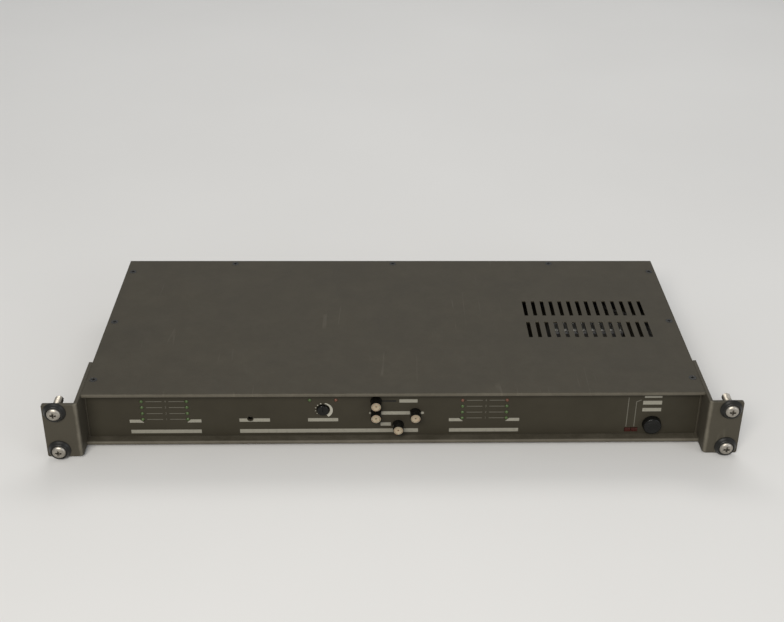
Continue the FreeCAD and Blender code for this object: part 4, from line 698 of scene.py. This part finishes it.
# The crescent is the strip between two circles. The outer one sits to the lower right, so the strip widens
# clockwise.
CRESCENT_RADIUS, CRESCENT_SHIFT, CRESCENT_INNER, CRESCENT_SPAN = 6.3, 0.6, 0.8, (16, 150)
start()
bpy.ops.mesh.primitive_circle_add(vertices=KNOB_SIDES, radius=CRESCENT_RADIUS * MM,
                                  rotation=(math.pi / 2, 0, 0),
                                  location=((LEVEL[0] + CRESCENT_SHIFT) * MM, (PANEL_FACE - INK_THICK) * MM,
                                            (LEVEL[1] - CRESCENT_SHIFT) * MM))
dial = bpy.context.object
bpy.ops.object.transform_apply()
bpy.ops.object.mode_set(mode="EDIT")
bpy.ops.mesh.select_mode(type="EDGE")
bpy.ops.mesh.select_all(action="SELECT")
bpy.ops.mesh.extrude_region_move(
    TRANSFORM_OT_translate={"value": (-CRESCENT_SHIFT * MM, 0, CRESCENT_SHIFT * MM)})
bpy.ops.transform.resize(value=(CRESCENT_INNER, 1, CRESCENT_INNER),
                         center_override=(LEVEL[0] * MM, 0, LEVEL[1] * MM))


def bearing(face):
    """How far round the dial a face lies, in degrees clockwise from the top."""
    middle = face.calc_center_median()
    return math.degrees(math.atan2(middle.x - LEVEL[0] * MM, middle.z - LEVEL[1] * MM)) % 360


pick(dial, "faces", lambda f: not CRESCENT_SPAN[0] < bearing(f) < CRESCENT_SPAN[1])
bpy.ops.mesh.delete(type="FACE")
bpy.ops.mesh.select_all(action="SELECT")
bpy.ops.mesh.extrude_region_move(TRANSFORM_OT_translate={"value": (0, INK_THICK * 0.95 * MM, 0)})
bpy.ops.mesh.select_all(action="SELECT")
bpy.ops.mesh.normals_make_consistent(inside=False)
start()
DOT_CIRCLE, SMALLEST_DOT, DOT_GROWTH = 5.3, 0.32, 0.04
FIRST_DOT, DOT_SPACING = -128, 28  # degrees clockwise from the top
dots = []
for step in range(5):
    degrees, radius = FIRST_DOT + DOT_SPACING * step, SMALLEST_DOT + DOT_GROWTH * step
    x = LEVEL[0] + DOT_CIRCLE * math.sin(math.radians(degrees))
    z = LEVEL[1] + DOT_CIRCLE * math.cos(math.radians(degrees))
    dots.append(turned([(radius * 0.8, PANEL_FACE - INK_THICK), (radius, PANEL_FACE - INK_THICK * 0.7),
                        (radius, PANEL_FACE - INK_CLEAR)], x, z, 24))
finished(joined([dial, *dots]), "level_dial", white_ink)

# ---------------------------------------------------------------- trimmer
# A black trimmer with a cream rotor on the front board, reached with a screwdriver through the panel.
coat(gloss_black, "trim_pot_body")
coat(cream, "trim_rotor")

# ---------------------------------------------------------------- lamps
# Small round-nosed lamps of tinted resin, unlit, reach through the panel from the front board. Two oblong
# dark red ones lie side by side to the left of the power button.


def lens(name, deep, pale, haze):
    """Tinted cast resin, milky rather than clear."""
    resin = Finish(name, metallic=0.0, specular_ior_level=0.3, transmission_weight=0.25, ior=1.5,
                   coat_roughness=0.2, coat_weight=0.12)
    cloud = resin.noise(900.0, 3.0)
    resin.set(base_color=resin.mix(cloud, deep, pale), roughness=haze + cloud * 0.12)
    resin.bump(cloud, 0.00001)
    return resin


green_lens = lens("green_lens", (0.048, 0.092, 0.024), (0.09, 0.145, 0.043), 0.38)
red_lens = lens("red_lens", (0.135, 0.044, 0.024), (0.19, 0.068, 0.037), 0.38)
dark_red_lens = lens("dark_red_lens", (0.038, 0.0075, 0.005), (0.062, 0.0125, 0.008), 0.3)
coat(green_lens, "input_lamps", "output_lamps")
coat(red_lens, "red_lamps")
coat(dark_red_lens, "status_lamps")

# ---------------------------------------------------------------- black mouldings and plated parts
# Glass-filled nylon makes the switch and socket mouldings; contacts are tinned brass, nuts are zinc plated.
nylon = Finish("black_nylon", metallic=0.0, specular_ior_level=0.45)
nylon_soft = nylon.rounded(0.0003)
nylon_grain = nylon.noise(1800.0, 3.0)
nylon_cloud = nylon.noise(90.0, 4.0)
nylon.set(base_color=nylon.mix(nylon_cloud, (0.014, 0.0142, 0.0145), (0.026, 0.026, 0.0265)),
          roughness=0.42 + nylon_grain * 0.22)
nylon.bump(nylon_grain, 0.00003, nylon_soft)
coat(gloss_black, "fuse_cap", "ground_switch_slider")
coat(nylon, "button_switch_bodies", "power_switch_body", "level_pot_body", "op_amp_chips",
     "voltage_regulators", "ribbon_headers", "input_socket_inserts", "mains_inlet", "fuse_holder")

zinc = plated("zinc_plate", (0.48, 0.475, 0.44), 0.32, 0.2)
coat(zinc, "ear_screws", "ear_nuts", "inner_screws", "ground_switch_body", "transformer_frame",
     "input_latch_1", "input_latch_2")

# The earth post is a threaded stud with a star washer and a finger nut.
REAR_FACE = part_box("rear_panel")[1].y / MM
NUT_SIDES, STAR_SIDES = 72, 32
post_low, post_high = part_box("ground_post")
post_x = (post_low.x + post_high.x) / 2 / MM
post_start, post_end = post_low.y / MM, post_high.y / MM
shank = turned([(1.2, post_start), (1.7, post_start + 0.5), (1.7, post_end - 0.5), (1.2, post_end)],
               post_x, 0, 32)
nut = turned(set_back(REAR_FACE, [(2.0, 1.0), (4.1, 1.0), (4.9, 1.5), (4.9, 3.5), (4.3, 4.0), (2.9, 4.0),
                                  (2.1, 3.5)]), post_x, 0, NUT_SIDES)
fluted(nut, post_x, 0, NUT_SIDES, 0.25)
star = turned(set_back(REAR_FACE, [(2.2, 0.1), (5.0, 0.1), (5.0, 0.8), (2.2, 0.8)]), post_x, 0, STAR_SIDES)
fluted(star, post_x, 0, STAR_SIDES, 0.7)
post = joined([shank, thread(1.65, 2.0, 0.7, 20, post_start + 0.6, post_x), nut, star])
finished(post, "earth_post_and_nut", zinc, stands_for=["ground_post"])

tinned = plated("tinned_contacts", (0.72, 0.70, 0.62), 0.25)
coat(tinned, "socket_contacts", "inlet_blades")
brass = plated("brass_pillars", (0.72, 0.53, 0.27), 0.28)
coat(brass, "standoffs")
shell = plated("satin_shell", (0.36, 0.355, 0.335), 0.36, 0.12)
coat(shell, "input_sockets", "output_sockets")
aluminium = plated("extruded_aluminium", (0.62, 0.62, 0.62), 0.42)
coat(aluminium, "heat_sink")

# ---------------------------------------------------------------- rear marks and label plate
# Two plain numbers are printed above each pair of sockets, with a line between them and another below. The
# ground switch has two numbers and the fuse a line. A thin aluminium label plate, left blank, is held by
# four rivets.
SOCKET_PAIRS = [(-185.0, -150.0), (-105.0, -70.0)]
SOCKET_MARK_ROW, LINE_WIDTH, LINE_CORNER = 17.8, 0.5, 0.1
UPPER_LINE_INSET, LOWER_LINE_OVERHANG = 4, 13  # from the middles of the two sockets
SOCKET_NUMBER_SIZE, SWITCH_NUMBER_SIZE = 3.4, 3.0
SWITCH_NUMBERS, SWITCH_NUMBER_ROW = {"0": -29, "1": -35}, -8.4
FUSE_LINE, FUSE_LINE_ROW = (116.0, 134.0), -10.5
rear_ink = REAR_FACE + INK_CLEAR
rear_number = REAR_FACE + INK_THICK / 2
rear_marks = []
for pair in SOCKET_PAIRS:
    for number, x in zip("12", pair):
        rear_marks.append(numeral(number, x, SOCKET_MARK_ROW, SOCKET_NUMBER_SIZE, rear_number, math.pi))
    rear_marks.append(printed((pair[0] + UPPER_LINE_INSET, pair[1] - UPPER_LINE_INSET), SOCKET_MARK_ROW,
                              LINE_WIDTH, LINE_CORNER, rear_ink))
    rear_marks.append(printed((pair[0] - LOWER_LINE_OVERHANG, pair[1] + LOWER_LINE_OVERHANG),
                              -SOCKET_MARK_ROW, LINE_WIDTH, LINE_CORNER, rear_ink))
rear_marks.append(printed(FUSE_LINE, FUSE_LINE_ROW, LINE_WIDTH, LINE_CORNER, rear_ink))
rear_marks += [numeral(number, x, SWITCH_NUMBER_ROW, SWITCH_NUMBER_SIZE, rear_number, math.pi)
               for number, x in SWITCH_NUMBERS.items()]
finished(joined(rear_marks), "rear_marks", pale_ink)

PLATE, PLATE_HALF_HEIGHT, PLATE_FRONT, PLATE_CORNER = (15.0, 61.0), 9.5, 0.4, 1.6
RIVET_INSET, RIVET_HALF_HEIGHT = 3, 6.5
label = boxed(PLATE, (REAR_FACE + 0.005, REAR_FACE + PLATE_FRONT), (-PLATE_HALF_HEIGHT, PLATE_HALF_HEIGHT))
pick(label, "edges", along_y)
bpy.ops.mesh.bevel(offset=PLATE_CORNER * MM, segments=6)
start()
softened(label, 0.12)
foil = plated("brushed_label_foil", (0.34, 0.335, 0.32), 0.4, 0.1)
rivet_rings = set_back(REAR_FACE, [(0.3, 1.1), (0.8, 1.0), (1.15, 0.75), (1.3, 0.4), (1.3, 0.1)])
rivets = [turned(rivet_rings, x, z, 32)
          for x in (PLATE[0] + RIVET_INSET, PLATE[1] - RIVET_INSET)
          for z in (-RIVET_HALF_HEIGHT, RIVET_HALF_HEIGHT)]
finished(joined([label, *rivets]), "blank_label_plate", foil)

# ---------------------------------------------------------------- circuit boards
# The boards are glass fibre under green solder mask. What stands on them and between them shows through the
# vents: sleeved capacitors, ribbon cable, the transformer's stack and taped coil, its wires and the fuse.
board = Finish("solder_mask", metallic=0.0, specular_ior_level=0.5)
weave = board.noise(1200.0, 2.0, stretch=(1.0, 4.0, 1.0))
board.set(base_color=board.mix(weave, (0.010, 0.055, 0.028), (0.018, 0.080, 0.040)),
          roughness=0.32 + weave * 0.1)
board.bump(weave, 0.00002)
coat(board, "front_board", "main_board")

sleeve = Finish("capacitor_sleeve", metallic=0.0)
sleeve_cloud = sleeve.noise(200.0, 3.0)
sleeve.set(base_color=sleeve.mix(sleeve_cloud, (0.012, 0.016, 0.03), (0.02, 0.026, 0.045)),
           roughness=0.3 + sleeve_cloud * 0.1)
sleeve.bump(sleeve_cloud, 0.00001)
coat(sleeve, "filter_capacitors")
ribbon = Finish("ribbon_cable_grey", metallic=0.0)
ribbon_cloud = ribbon.noise(400.0, 3.0)
ribbon.set(base_color=ribbon.mix(ribbon_cloud, (0.33, 0.33, 0.33), (0.4, 0.4, 0.4)),
           roughness=0.5 + ribbon_cloud * 0.1)
ribbon.bump(ribbon_cloud, 0.00002)
coat(ribbon, "ribbon_cable")
steel = Finish("lamination_steel", metallic=0.8)
layers = steel.noise(300.0, 2.0, stretch=(0.02, 8.0, 0.02))
steel.set(base_color=steel.mix(layers, (0.09, 0.09, 0.095), (0.2, 0.2, 0.205)),
          roughness=0.45 + layers * 0.2)
steel.bump(layers, 0.00005)
coat(steel, "transformer_core")
tape = Finish("coil_tape", metallic=0.0)
tape_cloud = tape.noise(200.0, 3.0)
tape.set(base_color=tape.mix(tape_cloud, (0.55, 0.38, 0.06), (0.65, 0.47, 0.09)),
         roughness=0.35 + tape_cloud * 0.1)
tape.bump(tape_cloud, 0.00003)
coat(tape, "transformer_winding")
rubber = Finish("wire_sleeve", metallic=0.0)
rubber_cloud = rubber.noise(300.0, 3.0)
rubber.set(base_color=rubber.mix(rubber_cloud, (0.045, 0.043, 0.04), (0.065, 0.062, 0.058)),
           roughness=0.42 + rubber_cloud * 0.1)
rubber.bump(rubber_cloud, 0.00001)
coat(rubber, "mains_wires")
glass = Finish("fuse_glass", metallic=0.0, transmission_weight=0.7)
glass_cloud = glass.noise(300.0, 3.0)
glass.set(base_color=glass.mix(glass_cloud, (0.8, 0.82, 0.8), (0.9, 0.9, 0.88)),
          roughness=0.05 + glass_cloud * 0.05)
coat(glass, "mains_fuse")

# ---------------------------------------------------------------- floor, light and camera
# A pale studio floor, a large soft key light from the front left, a weaker fill from the right and a strip
# of light from behind.
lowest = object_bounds()[0][2]
start()
bpy.ops.mesh.primitive_plane_add(size=9.0, location=(0, 0, lowest - 0.0002))
floor = bpy.context.object
bpy.ops.object.transform_apply()
floor.name = "studio_floor"
pale = Finish("studio_floor", metallic=0.0, specular_ior_level=0.3)
pale_cloud = pale.noise(3.0, 4.0)
pale.set(base_color=pale.mix(pale_cloud, (0.66, 0.655, 0.64), (0.72, 0.715, 0.70)),
         roughness=0.6 + pale_cloud * 0.15)
floor.data.materials.append(pale.material)

world = bpy.data.worlds.new("studio")
bpy.context.scene.world = world
world.use_nodes = True
world.node_tree.nodes["Background"].inputs["Color"].default_value = (0.93, 0.96, 1.0, 1)
world.node_tree.nodes["Background"].inputs["Strength"].default_value = 0.38

for name, place, aim, size, power, colour in [
        ("key", (-0.45, -1.7, 1.55), (0, 0, 0), (1.3, 0.7), 42.0, (1.0, 0.96, 0.90)),
        ("fill", (1.6, -1.2, 0.7), (0, 0, 0), (1.1, 0.9), 8.0, (0.95, 0.97, 1.0)),
        ("rim", (0.2, 1.3, 1.3), (0, 0.05, 0), (1.8, 0.5), 9.0, (1.0, 0.98, 0.95))]:
    lamp = bpy.data.lights.new(name, "AREA")
    lamp.shape, lamp.size, lamp.size_y, lamp.energy, lamp.color = "RECTANGLE", *size, power, colour
    holder = bpy.data.objects.new(name, lamp)
    bpy.context.scene.collection.objects.link(holder)
    holder.location = place
    holder.rotation_euler = (Vector(aim) - Vector(place)).to_track_quat("-Z", "Y").to_euler()

VIEWPOINT = (-0.0140, -0.6684, 0.5027)
turn, tilt, lean = math.radians(2.28), math.radians(27.43), math.radians(1.10)
right = Vector((math.cos(turn), -math.sin(turn), 0))
ahead = Vector((math.sin(turn), math.cos(turn), 0))
gaze = ahead * math.cos(tilt) - Vector((0, 0, math.sin(tilt)))
above = ahead * math.sin(tilt) + Vector((0, 0, math.cos(tilt)))
across = right * math.cos(lean) + above * math.sin(lean)
upward = above * math.cos(lean) - right * math.sin(lean)
lens_data = bpy.data.cameras.new("camera")
lens_data.lens, lens_data.sensor_width = 54.5, 36.0
lens_data.shift_x, lens_data.shift_y = -0.033, -0.105
camera = bpy.data.objects.new("camera", lens_data)
bpy.context.scene.collection.objects.link(camera)
camera.matrix_world = Matrix.Translation(VIEWPOINT) @ Matrix((across, upward, -gaze)).transposed().to_4x4()
bpy.context.scene.camera = camera
bpy.context.scene.view_settings.view_transform = "Standard"
